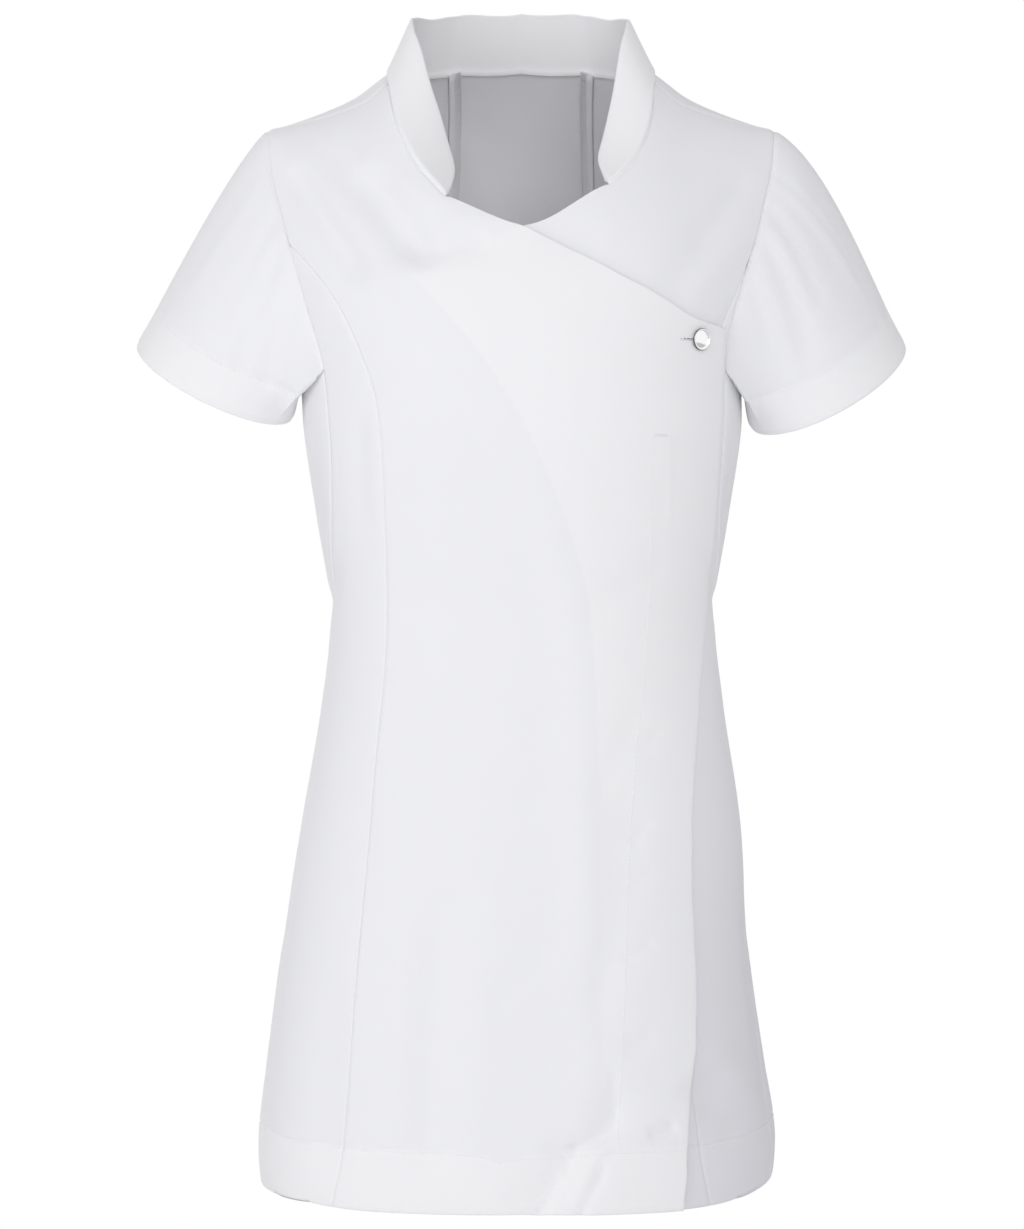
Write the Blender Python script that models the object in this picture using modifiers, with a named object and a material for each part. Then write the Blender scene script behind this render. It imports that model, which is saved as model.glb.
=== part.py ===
"""Beautician tunic, filled out as if worn: a wrap front on a stand collar, short set-in
sleeves, princess seams front and back, a turned-up hem and one metal button.

Metres, +Z up. The wearer faces -Y, so +X is the wearer's left. The origin lies between the
two points where the shoulder seams meet the collar. Every panel is laid on one body form,
a stack of rounded sections under a shoulder line, and is cut out of it by its seams.
A place on the form is (angle, over): the angle round the body, 0 at the centre front and
180 at the centre back, and the distance over the shoulder line, down the front or the back.
"""

import math

import bmesh
import bpy
from mathutils import Matrix, Vector

# ---------------------------------------------------------------- driving dimensions
WALL = 0.0015          # one layer of cloth
HEM_WALL = 0.0028      # the layers of a turned-up hem
COLLAR_WALL = 0.0022   # two layers of cloth, turned through
SEAM_GAP = 0.0003      # between two pieces that are sewn together
LAYER_GAP = 0.0019     # between the under-layer and the over-layer of the wrap
HEM_LEVEL = -0.763
HEM_DEPTH = 0.041
HEM_STEP = 0.003       # over which the wall thickens at the top of a hem
SLEEVE_HEM_DEPTH = 0.029
SIDE_SEAM_TOP = -0.200

# Body sections. level: height; half_width: half the width across; front, back: depth each
# way from the middle; shift: how far the middle stands to the side.
BODY = (
    # level, half_width, front, back, shift
    (-0.770, 0.1750, 0.126, 0.125, -0.003),
    (-0.735, 0.1775, 0.125, 0.124, -0.003),
    (-0.680, 0.1710, 0.121, 0.122, -0.004),
    (-0.590, 0.1600, 0.115, 0.118, -0.004),
    (-0.507, 0.1510, 0.109, 0.111, 0.000),
    (-0.424, 0.1380, 0.103, 0.101, 0.001),
    (-0.362, 0.1325, 0.100, 0.096, 0.001),
    (-0.300, 0.1415, 0.108, 0.100, 0.001),
    (-0.240, 0.1505, 0.118, 0.107, 0.001),
    (-0.195, 0.1530, 0.121, 0.112, 0.000),
    (-0.150, 0.1660, 0.117, 0.114, 0.000),
    (-0.105, 0.1790, 0.107, 0.113, 0.000),
    (-0.050, 0.1890, 0.094, 0.110, 0.000),
    (0.060, 0.1900, 0.082, 0.100, 0.000),
)
SQUARE = 2.3           # 2 gives an oval section, more a squarer one
FRONT_ROUND = 0.150    # drop over which the front reaches its full depth
BACK_ROUND = 0.100
OVER_ROUND = 0.100     # sets the pace of the distance over the shoulder

# The shoulder line from the middle of the neck to past the shoulder's end.
SHOULDER_LINE = (
    # out, level
    (0.000, 0.045),
    (0.045, 0.0365),
    (0.075, 0.0190),
    (0.0955, 0.0050),
    (0.113, -0.0083),
    (0.134, -0.0182),
    (0.160, -0.0275),
    (0.177, -0.0325),
    (0.200, -0.0490),
)
SHOULDER_END = 0.1745
# The shoulder seam lies a little in front of that line.
SHOULDER_SEAM = (
    # out, drop below the shoulder line
    (0.091, 0.0090),
    (0.102, 0.0110),
    (0.117, 0.0080),
    (0.137, 0.0045),
    (0.157, 0.0018),
    (0.175, 0.0008),
)
NECK_BACK = (
    # out, over the shoulder line to the back (minus: in front of it)
    (0.0905, -0.0180),
    (0.0875, 0.0120),
    (0.0745, 0.0420),
    (0.0515, 0.0620),
    (0.0260, 0.0710),
    (0.0000, 0.0740),
)
NAPE_END = 0.0620          # over, where the back seam meets the neck
BACK_SEAM_START = -0.010   # level of the back seam's first station below the neck
NECK_RIGHT = (
    # out, level: the collar seam in front, below the shoulder seam
    (-0.0862, -0.0285),
    (-0.0778, -0.0490),
    (-0.0674, -0.0665),
    (-0.0510, -0.0855),
)
NECK_LEFT = (
    (0.0890, -0.0270),
    (0.0835, -0.0470),
    (0.0742, -0.0625),
    (0.0592, -0.0767),
)
WRAP_EDGE = (
    # the over-layer's neck edge, from the collar to its corner
    (-0.0510, -0.0855),
    (0.0000, -0.1060),
    (0.0460, -0.1290),
    (0.0860, -0.1500),
    (0.1350, -0.1720),
)
UNDER_EDGE = (
    # the under-layer's neck edge, from the collar to its hidden corner
    (0.0592, -0.0767),
    (0.0000, -0.1060),
    (-0.0715, -0.1400),
)
FRONT_EDGE = (
    # level, out: the over-layer's free edge
    (HEM_LEVEL, 0.1060),
    (-0.700, 0.1105),
    (-0.640, 0.1155),
    (-0.520, 0.1125),
    (-0.410, 0.1190),
    (-0.300, 0.1290),
    (-0.172, 0.1350),
)
HIDDEN_EDGE = (
    # level, out: the under-layer's free edge, behind the over-layer
    (HEM_LEVEL, 0.0540),
    (-0.600, 0.0530),
    (-0.456, 0.0510),
    (-0.361, 0.0450),
    (-0.313, 0.0335),
    (-0.245, 0.0053),
    (-0.191, -0.0274),
    (-0.140, -0.0715),
)
PRINCESS_RIGHT = (
    # level, out
    (HEM_LEVEL, -0.1265),
    (-0.720, -0.1190),
    (-0.613, -0.1110),
    (-0.463, -0.0980),
    (-0.389, -0.0913),
    (-0.322, -0.0913),
    (-0.249, -0.0938),
    (-0.218, -0.0985),
    (-0.188, -0.1087),
    (-0.156, -0.1240),
    (-0.130, -0.1430),
)
PRINCESS_LEFT = (
    (HEM_LEVEL, 0.1265),
    (-0.720, 0.1190),
    (-0.613, 0.1110),
    (-0.463, 0.0980),
    (-0.389, 0.0925),
    (-0.322, 0.0955),
    (-0.249, 0.1060),
    (-0.200, 0.1220),
    (-0.170, 0.1370),
)
PRINCESS_TOP = {-1: -0.114, 1: -0.123}   # level where it meets the armhole, right and left
BACK_SEAM = (
    # level, out
    (HEM_LEVEL, 0.0850),
    (-0.560, 0.0700),
    (-0.370, 0.0560),
    (-0.200, 0.0560),
    (0.000, 0.0510),
)
SIDE_SEAM = (
    # level, angle on the right, angle on the left
    (HEM_LEVEL, 80.0, 77.0),
    (-0.660, 86.0, 84.0),
    (-0.580, 90.0, 91.0),
    (-0.440, 90.0, 91.0),
    (-0.385, 86.0, 88.0),
    (-0.340, 74.0, 79.0),
    (-0.310, 67.0, 72.0),
    (-0.280, 62.0, 67.0),
    (-0.245, 58.5, 64.0),
    (SIDE_SEAM_TOP, 59.5, 64.0),
)
ARMHOLE_FRONT = (
    # level, angle on the right, angle on the left
    (SIDE_SEAM_TOP, 59.5, 64.0),
    (-0.180, 60.3, 62.0),
    (-0.150, 61.0, 61.0),
    (-0.110, 61.5, 61.5),
    (-0.080, 63.0, 63.0),
    (-0.040, 65.6, 65.6),
)
ARMHOLE_BACK = (
    # angle, level, from behind the shoulder's end round under the arm
    (116.0, -0.060),
    (118.0, -0.100),
    (117.0, -0.140),
    (112.0, -0.173),
    (102.0, -0.195),
    (90.0, -0.206),
    (76.0, -0.207),
)
# How far the hem rides up, by angle.
HEM_RISE = (
    # angle, rise
    (-180.0, 0.003),
    (-90.0, 0.008),
    (-60.0, 0.005),
    (-30.0, 0.001),
    (30.0, 0.001),
    (52.0, 0.004),
    (75.0, 0.011),
    (92.0, 0.014),
    (120.0, 0.010),
    (180.0, 0.003),
)
HEM_RISE_FROM = -0.600
HEM_RISE_TO = -0.740

# Soft troughs in the cloth: both ends as (out, level), how wide, how deep.
FRONT_FOLDS = (
    # out, level, to_out, to_level, width, depth
    (-0.165, -0.052, -0.107, -0.137, 0.011, 0.0050),
    (-0.129, -0.051, -0.071, -0.121, 0.013, 0.0050),
    (0.151, -0.073, 0.101, -0.148, 0.013, 0.0050),
    (-0.054, -0.561, -0.061, -0.735, 0.018, 0.0075),
    (0.070, -0.489, 0.049, -0.635, 0.014, 0.0055),
    (0.066, -0.680, -0.001, -0.759, 0.015, 0.0065),
    (0.124, -0.677, 0.146, -0.715, 0.012, 0.0045),
)
BACK_FOLDS = (
    (-0.090, -0.290, -0.015, -0.350, 0.014, 0.0050),
    (0.095, -0.310, 0.020, -0.372, 0.015, 0.0055),
    (0.120, -0.110, 0.070, -0.200, 0.014, 0.0050),
    (-0.125, -0.120, -0.080, -0.215, 0.014, 0.0045),
    (0.040, -0.560, 0.048, -0.735, 0.018, 0.0070),
    (-0.055, -0.590, -0.064, -0.740, 0.017, 0.0065),
)

# Sleeves, out to the side as +X. across: from the middle of the sleeve hem's loop to its
# outer corner; depth: from the middle to its front; leave, fall: the way the cloth runs at
# the shoulder and at the hem; pull: how far both ends steer its lines.
SLEEVES = {
    -1: {
        "middle": Vector((0.2115, 0.002, -0.2040)),
        "across": Vector((0.0535, 0.000, 0.0250)),
        "depth": Vector((0.000, -0.0520, -0.0180)),
        "leave": Vector((0.86, 0.00, -0.51)),
        "fall": Vector((0.50, 0.00, -0.87)),
        "pull": 0.45,
    },
    1: {
        "middle": Vector((0.2120, 0.002, -0.2070)),
        "across": Vector((0.0535, 0.000, 0.0270)),
        "depth": Vector((0.000, -0.0520, -0.0220)),
        "leave": Vector((0.93, 0.00, -0.37)),
        "fall": Vector((0.50, 0.00, -0.86)),
        "pull": 0.70,
    },
}
SLEEVE_BELLY = 0.55                              # how far front and back swell

COLLAR = (
    # along from the centre back to the front end, height, lean inwards in degrees
    (0.00, 0.0395, 15.0),
    (0.30, 0.0405, 19.0),
    (0.52, 0.0440, 26.0),
    (0.66, 0.0430, 37.0),
    (0.80, 0.0395, 52.0),
    (0.90, 0.0345, 62.0),
    (0.96, 0.0260, 66.0),
    (1.00, 0.0060, 68.0),
)

BUTTON_PLACE = (0.1182, -0.1800)
BUTTON_RADIUS = 0.0075
BUTTON_RIM = 0.0016
BUTTON_DOME = 0.0012
SHANK_RADIUS = 0.0015
SHANK_CLEAR = 0.0019
BUTTONHOLE_LENGTH = 0.017
BUTTONHOLE_PAST = 0.0055                         # how far it reaches past the shank
BUTTONHOLE_WIDTH = 0.0010

# How many cells each stretch has.
LOW_ROWS = 18          # from the side seam's top down to the hem
YOKE_ROWS = 5          # down the armhole to the princess seam
BUST_ROWS = 5          # from there to the side seam's top
BLADE_ROWS = 14        # behind: from the shoulder to the side seam's top
SHOULDER_CELLS = 5
NECK_CELLS = 6
NAPE_CELLS = 4
BACK_CELLS = 6
WRAP_CELLS = 10
UNDER_CELLS = 8
SIDE_CELLS = 4
SLEEVE_ROWS = 7
COLLAR_ROWS = 3
HEM_ROWS = 2           # rows of points as thick as a hem
EVENING_ROUNDS = 40    # in which a grid's places settle between its edges
DEGREE = 0.0026        # about one degree round the body, as a length

WHITE = (0.87, 0.87, 0.89, 1.0)
SILVER = (0.72, 0.72, 0.74, 1.0)


# ---------------------------------------------------------------- smooth curves
def smooth(rows, at, column=1):
    """A column's value at a place between the rows, on a smooth curve through them."""
    keys = [row[0] for row in rows]
    at = min(max(at, keys[0]), keys[-1])
    last = len(rows) - 1
    i = max(n for n in range(last) if keys[n] <= at)

    def slope(n):
        low, high = max(n - 1, 0), min(n + 1, last)
        return (rows[high][column] - rows[low][column]) / (keys[high] - keys[low])

    span = keys[i + 1] - keys[i]
    t = (at - keys[i]) / span
    start, end = rows[i][column], rows[i + 1][column]
    return (
        (1 + 2 * t) * (1 - t) ** 2 * start
        + t * (1 - t) ** 2 * span * slope(i)
        + t * t * (3 - 2 * t) * end
        - t * t * (1 - t) * span * slope(i + 1)
    )


def ease(t):
    """0 below 0, 1 above 1, and a soft step between."""
    t = min(max(t, 0.0), 1.0)
    return t * t * (3 - 2 * t)


def stations(places, cells):
    """A curve through a few places (angle, over), cut into cells of equal length."""
    fine = []
    steps = 24
    last = len(places) - 1
    for i in range(last):
        a, b = places[max(i - 1, 0)], places[i]
        c, d = places[i + 1], places[min(i + 2, last)]
        for n in range(steps):
            t = n / steps
            fine.append(
                tuple(
                    0.5 * (
                        2 * q + (r - p) * t + (2 * p - 5 * q + 4 * r - s) * t * t
                        + (3 * q - p - 3 * r + s) * t ** 3
                    )
                    for p, q, r, s in zip(a, b, c, d)
                )
            )
    fine.append(tuple(places[-1]))
    run = [0.0]
    for before, after in zip(fine, fine[1:]):
        step = math.hypot((after[0] - before[0]) * DEGREE, after[1] - before[1])
        run.append(run[-1] + step)
    found = []
    i = 0
    for n in range(cells + 1):
        goal = run[-1] * n / cells
        while i < len(run) - 2 and run[i + 1] < goal:
            i += 1
        t = (goal - run[i]) / max(run[i + 1] - run[i], 1e-9)
        found.append(tuple(p + (q - p) * t for p, q in zip(fine[i], fine[i + 1])))
    return found


# ---------------------------------------------------------------- the body form
def drop_of(over):
    """How far below the shoulder line a distance over it leads."""
    over = abs(over)
    quarter = OVER_ROUND * math.pi / 2
    if over < quarter:
        return OVER_ROUND * (1 - math.cos(over / OVER_ROUND))
    return OVER_ROUND + over - quarter


def over_of(drop):
    drop = max(drop, 0.0)
    if drop < OVER_ROUND:
        return OVER_ROUND * math.acos(1 - drop / OVER_ROUND)
    return drop - OVER_ROUND + OVER_ROUND * math.pi / 2


def out_of(angle, level):
    """How far to the side the form is at this angle and level."""
    side = math.sin(math.radians(angle))
    reach = smooth(BODY, level, 1) * abs(side) ** (2 / SQUARE)
    return smooth(BODY, level, 4) + math.copysign(reach, side)


def angle_at(out, level, behind=False):
    from_middle = out - smooth(BODY, level, 4)
    share = min(abs(from_middle) / smooth(BODY, level, 1), 1.0)
    angle = math.degrees(math.asin(share ** (SQUARE / 2)))
    if behind:
        angle = 180 - angle
    return math.copysign(angle, from_middle)


def place(angle, level):
    """(angle, over) of a level on the form."""
    return angle, over_of(smooth(SHOULDER_LINE, abs(out_of(angle, level))) - level)


def at_out(out, level, behind=False):
    return place(angle_at(out, level, behind), level)


def trough(folds, out, level):
    """How deep the folds dent the cloth here."""
    here = Vector((out, level))
    total = 0.0
    for out_a, level_a, out_b, level_b, width, depth in folds:
        start, end = Vector((out_a, level_a)), Vector((out_b, level_b))
        along = (here - start).dot(end - start) / (end - start).length_squared
        nearest = start + (end - start) * min(max(along, 0.0), 1.0)
        fade = ease((along + 0.25) * 2.5) * ease((1.25 - along) * 2.5)
        total += depth * fade * math.exp(-(((here - nearest).length / width) ** 2))
    return total


def form(angle, over):
    """The point of the body form at a place."""
    drop = drop_of(over)
    level = -0.1
    for _ in range(20):
        out = out_of(angle, level)
        level = smooth(SHOULDER_LINE, abs(out)) - drop
    depth_share = abs(math.cos(math.radians(angle))) ** (2 / SQUARE)
    in_front = abs(angle) <= 90 or over < 0
    column, rounding = (2, FRONT_ROUND) if in_front else (3, BACK_ROUND)
    rise = 1.0 if drop > rounding else math.sqrt(1 - (1 - drop / rounding) ** 2)
    depth = smooth(BODY, level, column) * depth_share * rise
    depth -= trough(FRONT_FOLDS if in_front else BACK_FOLDS, out, level) * rise * depth_share
    turned = (angle + 180) % 360 - 180
    hem_share = ease((HEM_RISE_FROM - level) / (HEM_RISE_FROM - HEM_RISE_TO))
    level += smooth(HEM_RISE, turned) * hem_share
    return Vector((out, -depth if in_front else depth, level))


def normal(angle, over):
    d_angle, d_over = 0.4, 0.0012
    round_it = form(angle + d_angle, over) - form(angle - d_angle, over)
    down_it = form(angle, over + d_over) - form(angle, over - d_over)
    return down_it.cross(round_it).normalized()


# ---------------------------------------------------------------- the seams, as places
def level_steps(top, bottom, cells):
    return [top + (bottom - top) * n / cells for n in range(cells + 1)]


def levels_to_hem(top, cells):
    """Even steps down to the top of the hem, then the hem's own."""
    hem_top = HEM_LEVEL + HEM_DEPTH
    return level_steps(top, hem_top + HEM_STEP, cells - 2) + [hem_top, HEM_LEVEL]


LOW_LEVELS = levels_to_hem(SIDE_SEAM_TOP, LOW_ROWS)


def mirrored(places):
    return [(-angle, over) for angle, over in places]


def shoulder_seam():
    """The wearer's left shoulder seam, from the neck out, on the front of the form."""
    found = []
    first = SHOULDER_SEAM[0][0]
    for n in range(SHOULDER_CELLS + 1):
        out = first + (SHOULDER_END - first) * n / SHOULDER_CELLS
        level = smooth(SHOULDER_LINE, out) - smooth(SHOULDER_SEAM, out)
        found.append(at_out(out, level))
    return found


def seam_at(rows, side, level):
    """A place on a seam that a table gives by level, right and left in columns 1 and 2."""
    return place(side * smooth(rows, level, 1 if side < 0 else 2), level)


def armhole_front_upper(side):
    """From the shoulder's end down to the princess seam."""
    angle, over = shoulder_seam()[-1]
    levels = (-0.060, -0.090, PRINCESS_TOP[side])
    rows = [seam_at(ARMHOLE_FRONT, side, level) for level in levels]
    return stations([(side * angle, over)] + rows, YOKE_ROWS)


def armhole_front_lower(side):
    """From the princess seam down to the side seam."""
    levels = level_steps(PRINCESS_TOP[side], SIDE_SEAM_TOP, BUST_ROWS)
    return [seam_at(ARMHOLE_FRONT, side, level) for level in levels]


def armhole_back(side):
    """From the shoulder's end, behind, round under the arm to the side seam."""
    angle, over = shoulder_seam()[-1]
    behind = [(side * (180 - angle), -over)]
    behind += [place(side * angle, level) for angle, level in ARMHOLE_BACK]
    return stations(behind + [seam_at(SIDE_SEAM, side, SIDE_SEAM_TOP)], BLADE_ROWS)


def princess(rows, side):
    """From the armhole down to the hem."""
    top = PRINCESS_TOP[side]
    rows = rows + ((top, out_of(seam_at(ARMHOLE_FRONT, side, top)[0], top)),)
    levels = level_steps(top, SIDE_SEAM_TOP, BUST_ROWS) + LOW_LEVELS[1:]
    return [at_out(smooth(rows, level), level) for level in levels]


def side_seam(side):
    return [seam_at(SIDE_SEAM, side, level) for level in LOW_LEVELS]


def free_edge(rows, top):
    """An edge that is sewn to nothing, from its corner down to the hem."""
    levels = levels_to_hem(top, YOKE_ROWS + BUST_ROWS + LOW_ROWS)
    return [at_out(smooth(rows, level), level) for level in levels]


def back_seam(top):
    """The wearer's left back seam, from the neck down."""
    levels = levels_to_hem(BACK_SEAM_START, BLADE_ROWS + LOW_ROWS - 1)
    return [top] + [at_out(smooth(BACK_SEAM, level), level, True) for level in levels]


def neck_front(rows):
    """The collar seam in front, from the shoulder seam down."""
    angle, over = shoulder_seam()[0]
    start = (math.copysign(angle, rows[0][0]), over)
    return stations([start] + [at_out(out, level) for out, level in rows], NECK_CELLS)


def neck_back():
    """The wearer's left half of the collar seam behind: from the shoulder seam to the back
    seam, and from there to the middle."""
    angle, over = shoulder_seam()[0]
    whole = [(180 - angle, -over)]
    for out, over in NECK_BACK:
        level = smooth(SHOULDER_LINE, out) - drop_of(over)
        whole.append((angle_at(out, level, True), over))
    whole[-1] = (180.0, whole[-1][1])
    side = [row for row in whole if row[1] <= NAPE_END]
    middle = [row for row in whole if row[1] >= NAPE_END]
    return stations(side, NAPE_CELLS), stations(middle, BACK_CELLS // 2)


def hem(left, right, fractions):
    """Along the hem from one seam's foot to another's."""
    found = [left]
    for share in fractions[1:-1]:
        found.append(place(left[0] + (right[0] - left[0]) * share, HEM_LEVEL))
    return found + [right]


# ---------------------------------------------------------------- panels
def shares(places):
    run = [0.0]
    for before, after in zip(places, places[1:]):
        step = math.hypot((after[0] - before[0]) * DEGREE, after[1] - before[1])
        run.append(run[-1] + step)
    return [length / max(run[-1], 1e-9) for length in run]


def turn_shares(places):
    """How far round the body each place is, from the first to the last."""
    first, last = places[0][0], places[-1][0]
    return [(angle - first) / (last - first) for angle, over in places]


def patch(left, right, top, bottom):
    """Rows of places that fill the space between four edges. Each row shares its own width
    out between the columns, so that they stay in order where the panel is narrow."""
    across, down = len(top) - 1, len(left) - 1
    top_share, bottom_share = shares(top), shares(bottom)
    top_turn, bottom_turn = turn_shares(top), turn_shares(bottom)
    left_share, right_share = shares(left), shares(right)
    rows = []
    for j in range(down + 1):
        row = []
        for i in range(across + 1):
            u = top_share[i] + (bottom_share[i] - top_share[i]) * j / down
            v = left_share[j] + (right_share[j] - left_share[j]) * i / across
            turn = (1 - v) * top_turn[i] + v * bottom_turn[i]
            angle = left[j][0] + (right[j][0] - left[j][0]) * turn
            over = (
                (1 - v) * top[i][1] + v * bottom[i][1]
                + (1 - u) * left[j][1] + u * right[j][1]
                - (1 - v) * ((1 - u) * top[0][1] + u * top[-1][1])
                - v * ((1 - u) * bottom[0][1] + u * bottom[-1][1])
            )
            row.append((angle, over))
        rows.append(row)
    return rows


def evened(rows):
    """The same grid with its inner places evened out, so that no cells cross below the neck's
    steep edge: Winslow's smoothing, which leaves the four edges and the hem's rows alone."""
    points = [[Vector((angle * DEGREE, over)) for angle, over in row] for row in rows]
    for _ in range(EVENING_ROUNDS):
        for j in range(1, len(rows) - HEM_ROWS - 1):
            above, row, below = points[j - 1 : j + 2]
            for i in range(1, len(row) - 1):
                across, down = row[i + 1] + row[i - 1], above[i] + below[i]
                along, fall = row[i + 1] - row[i - 1], below[i] - above[i]
                twist = below[i + 1] - below[i - 1] - above[i + 1] + above[i - 1]
                skew = twist * along.dot(fall) / 2
                flat, steep = along.length_squared, fall.length_squared
                row[i] = (across * steep + down * flat - skew) / (2 * (steep + flat))
    return [[(point.x / DEGREE, point.y) for point in row] for row in points]


def inset(rows, left=False, right=False, top=range(0)):
    """Points moved in by half a seam gap: at the left, at the right, at some along the top."""
    moved = [[point.copy() for point in row] for row in rows]
    last_row, last_column = len(rows) - 1, len(rows[0]) - 1

    def pull(j, i, inner, before, after):
        inwards = inner - rows[j][i]
        along = (after - before).normalized()
        inwards -= along * inwards.dot(along)
        if inwards.length > 1e-9:
            moved[j][i] += inwards.normalized() * SEAM_GAP / 2

    for j in range(last_row + 1):
        above, below = rows[max(j - 1, 0)], rows[min(j + 1, last_row)]
        if left:
            pull(j, 0, rows[j][1], above[0], below[0])
        if right:
            pull(j, last_column, rows[j][-2], above[-1], below[-1])
    for i in top:
        before, after = max(i - 1, 0), min(i + 1, last_column)
        pull(0, i, rows[1][i], rows[0][before], rows[0][after])
    return moved


def fabric(name, colour, roughness, metallic=0.0):
    material = bpy.data.materials.new(name)
    material.use_nodes = True
    shader = material.node_tree.nodes["Principled BSDF"]
    shader.inputs["Base Color"].default_value = colour
    shader.inputs["Roughness"].default_value = roughness
    shader.inputs["Metallic"].default_value = metallic
    return material


def cloth(name, outer, inner):
    """A piece of cloth: a grid through rows of outer points, top row first, and a wall that
    reaches from there to the inner points."""
    down, across = len(outer) - 1, len(outer[0]) - 1
    grid = bmesh.new()
    row_of = grid.verts.layers.int.new("row")
    column_of = grid.verts.layers.int.new("column")
    bmesh.ops.create_grid(grid, x_segments=across, y_segments=down, size=1)
    for vertex in grid.verts:
        i = round((vertex.co.x + 1) / 2 * across)
        j = round((1 - vertex.co.y) / 2 * down)
        vertex.co = outer[j][i]
        vertex[row_of], vertex[column_of] = j, i
    bmesh.ops.remove_doubles(grid, verts=grid.verts, dist=1e-6)
    made = bmesh.ops.extrude_face_region(grid, geom=grid.faces[:])
    for vertex in made["geom"]:
        if isinstance(vertex, bmesh.types.BMVert):
            vertex.co = inner[vertex[row_of]][vertex[column_of]]
    bmesh.ops.recalc_face_normals(grid, faces=grid.faces)
    mesh = bpy.data.meshes.new(name)
    grid.to_mesh(mesh)
    grid.free()
    piece = bpy.data.objects.new(name, mesh)
    mesh.materials.append(fabric(name + "_cloth", WHITE, 0.85))
    mesh.shade_smooth()
    mesh.set_sharp_from_angle(angle=math.radians(40))
    tunic.objects.link(piece)
    return piece


def wall_at(j, rows):
    """One layer of cloth, or a turned-up hem's layers in the last rows."""
    return HEM_WALL if j >= len(rows) - HEM_ROWS else WALL


def wrap_lift(out, level):
    """How far the over-layer stands off the form: clear of the under-layer, else on the form."""
    beside = max(smooth(HIDDEN_EDGE, level) - out, 0.0)
    (out_a, level_a), (out_b, level_b) = UNDER_EDGE[-1], UNDER_EDGE[0]
    slant = (level_b - level_a) / (out_b - out_a)
    above = max(level - (level_a + slant * (out - out_a)), 0.0)
    near = ease(1.2 - math.hypot(beside, above) / 0.030)
    at_hem = ease((HEM_LEVEL + HEM_DEPTH + 0.020 - level) / 0.020)
    return near * (WALL + LAYER_GAP + (HEM_WALL - WALL) * at_hem)


def walls(places, lift=None, **sewn):
    """A panel's outer and inner points. The wall follows the form's own normals, so that the
    walls of two panels stay side by side along their seam."""
    outer, inner = [], []
    for j, row in enumerate(places):
        wall = wall_at(j, places)
        outer.append([])
        inner.append([])
        for angle, over in row:
            flat, up = form(angle, over), normal(angle, over)
            rise = lift(flat.x, flat.z) if lift else 0.0
            outer[-1].append(flat + up * rise)
            inner[-1].append(flat + up * (rise - wall))
    return inset(outer, **sewn), inset(inner, **sewn)


def over_layer():
    """The wearer's right centre front, wrapped across to the left."""
    seam = princess(PRINCESS_RIGHT, -1)
    edge = free_edge(FRONT_EDGE, WRAP_EDGE[-1][1])
    top = mirrored(shoulder_seam())[::-1] + neck_front(NECK_RIGHT)[1:]
    top += stations([at_out(out, level) for out, level in WRAP_EDGE], WRAP_CELLS)[1:]
    foot = hem(seam[-1], edge[-1], shares(top))
    places = evened(patch(armhole_front_upper(-1) + seam[1:], edge, top, foot))
    sewn = range(SHOULDER_CELLS + NECK_CELLS + 1)
    return cloth("front_right_centre", *walls(places, wrap_lift, left=True, top=sewn))


def under_layer():
    """The wearer's left centre front, which ends behind the over-layer."""
    seam = princess(PRINCESS_LEFT, 1)
    edge = free_edge(HIDDEN_EDGE, UNDER_EDGE[-1][1])
    top = stations([at_out(out, level) for out, level in UNDER_EDGE], UNDER_CELLS)[::-1]
    top += neck_front(NECK_LEFT)[::-1][1:] + shoulder_seam()[1:]
    foot = hem(edge[-1], seam[-1], shares(top))
    places = evened(patch(edge, armhole_front_upper(1) + seam[1:], top, foot))
    sewn = range(UNDER_CELLS, len(top))
    cloth("front_left_centre", *walls(places, right=True, top=sewn))


def side_front(name, rows, side):
    """The panel between the princess seam and the side seam, pointed where they meet."""
    seam = princess(rows, side)
    outer_seam = armhole_front_lower(side) + side_seam(side)[1:]
    left, right = (seam, outer_seam) if side > 0 else (outer_seam, seam)
    across = [n / SIDE_CELLS for n in range(SIDE_CELLS + 1)]
    places = []
    for (angle_a, over_a), (angle_b, over_b) in zip(left, right):
        places.append(
            [(angle_a + (angle_b - angle_a) * u, over_a + (over_b - over_a) * u) for u in across]
        )
    places[-1] = hem(left[-1], right[-1], across)
    outer, inner = walls(places, left=True, right=True)
    for points in (outer, inner):
        tip, below = points[0][0], points[1][SIDE_CELLS // 2]
        blunted = tip + (below - tip).normalized() * 3 * SEAM_GAP
        points[0] = [blunted] * (SIDE_CELLS + 1)
    cloth(name, outer, inner)


def side_back(name, side):
    """The back panel between the side seam and the back seam, with the rest of the armhole."""
    behind = [(180 - angle, -over) for angle, over in shoulder_seam()]
    nape = neck_back()[0]
    seam = back_seam(nape[-1])
    top = behind[::-1] + nape[1:]
    if side < 0:
        seam, top = mirrored(seam), mirrored(top)
    outer_seam = armhole_back(side) + side_seam(side)[1:]
    foot = hem(outer_seam[-1], seam[-1], shares(top))
    places = patch(outer_seam, seam, top, foot)
    if side < 0:
        places = [row[::-1] for row in places]
    cloth(name, *walls(places, left=True, right=True, top=range(len(top))))


def back_centre():
    nape, middle = neck_back()
    seam = back_seam(nape[-1])
    middle[0] = seam[0]
    top = middle + [(360 - angle, over) for angle, over in middle[::-1][1:]]
    other = [(360 - angle, over) for angle, over in seam]
    foot = hem(seam[-1], other[-1], shares(top))
    places = patch(seam, other, top, foot)
    cloth("back_centre", *walls(places, left=True, right=True, top=range(len(top))))


# ---------------------------------------------------------------- sleeves
def armhole_loop(side):
    """From the shoulder seam down the front, under the arm and up the back."""
    front = armhole_front_upper(side) + armhole_front_lower(side)[1:]
    return front + armhole_back(side)[::-1][1:-1]


def closed(rows):
    return [row + row[:1] for row in rows]


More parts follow.
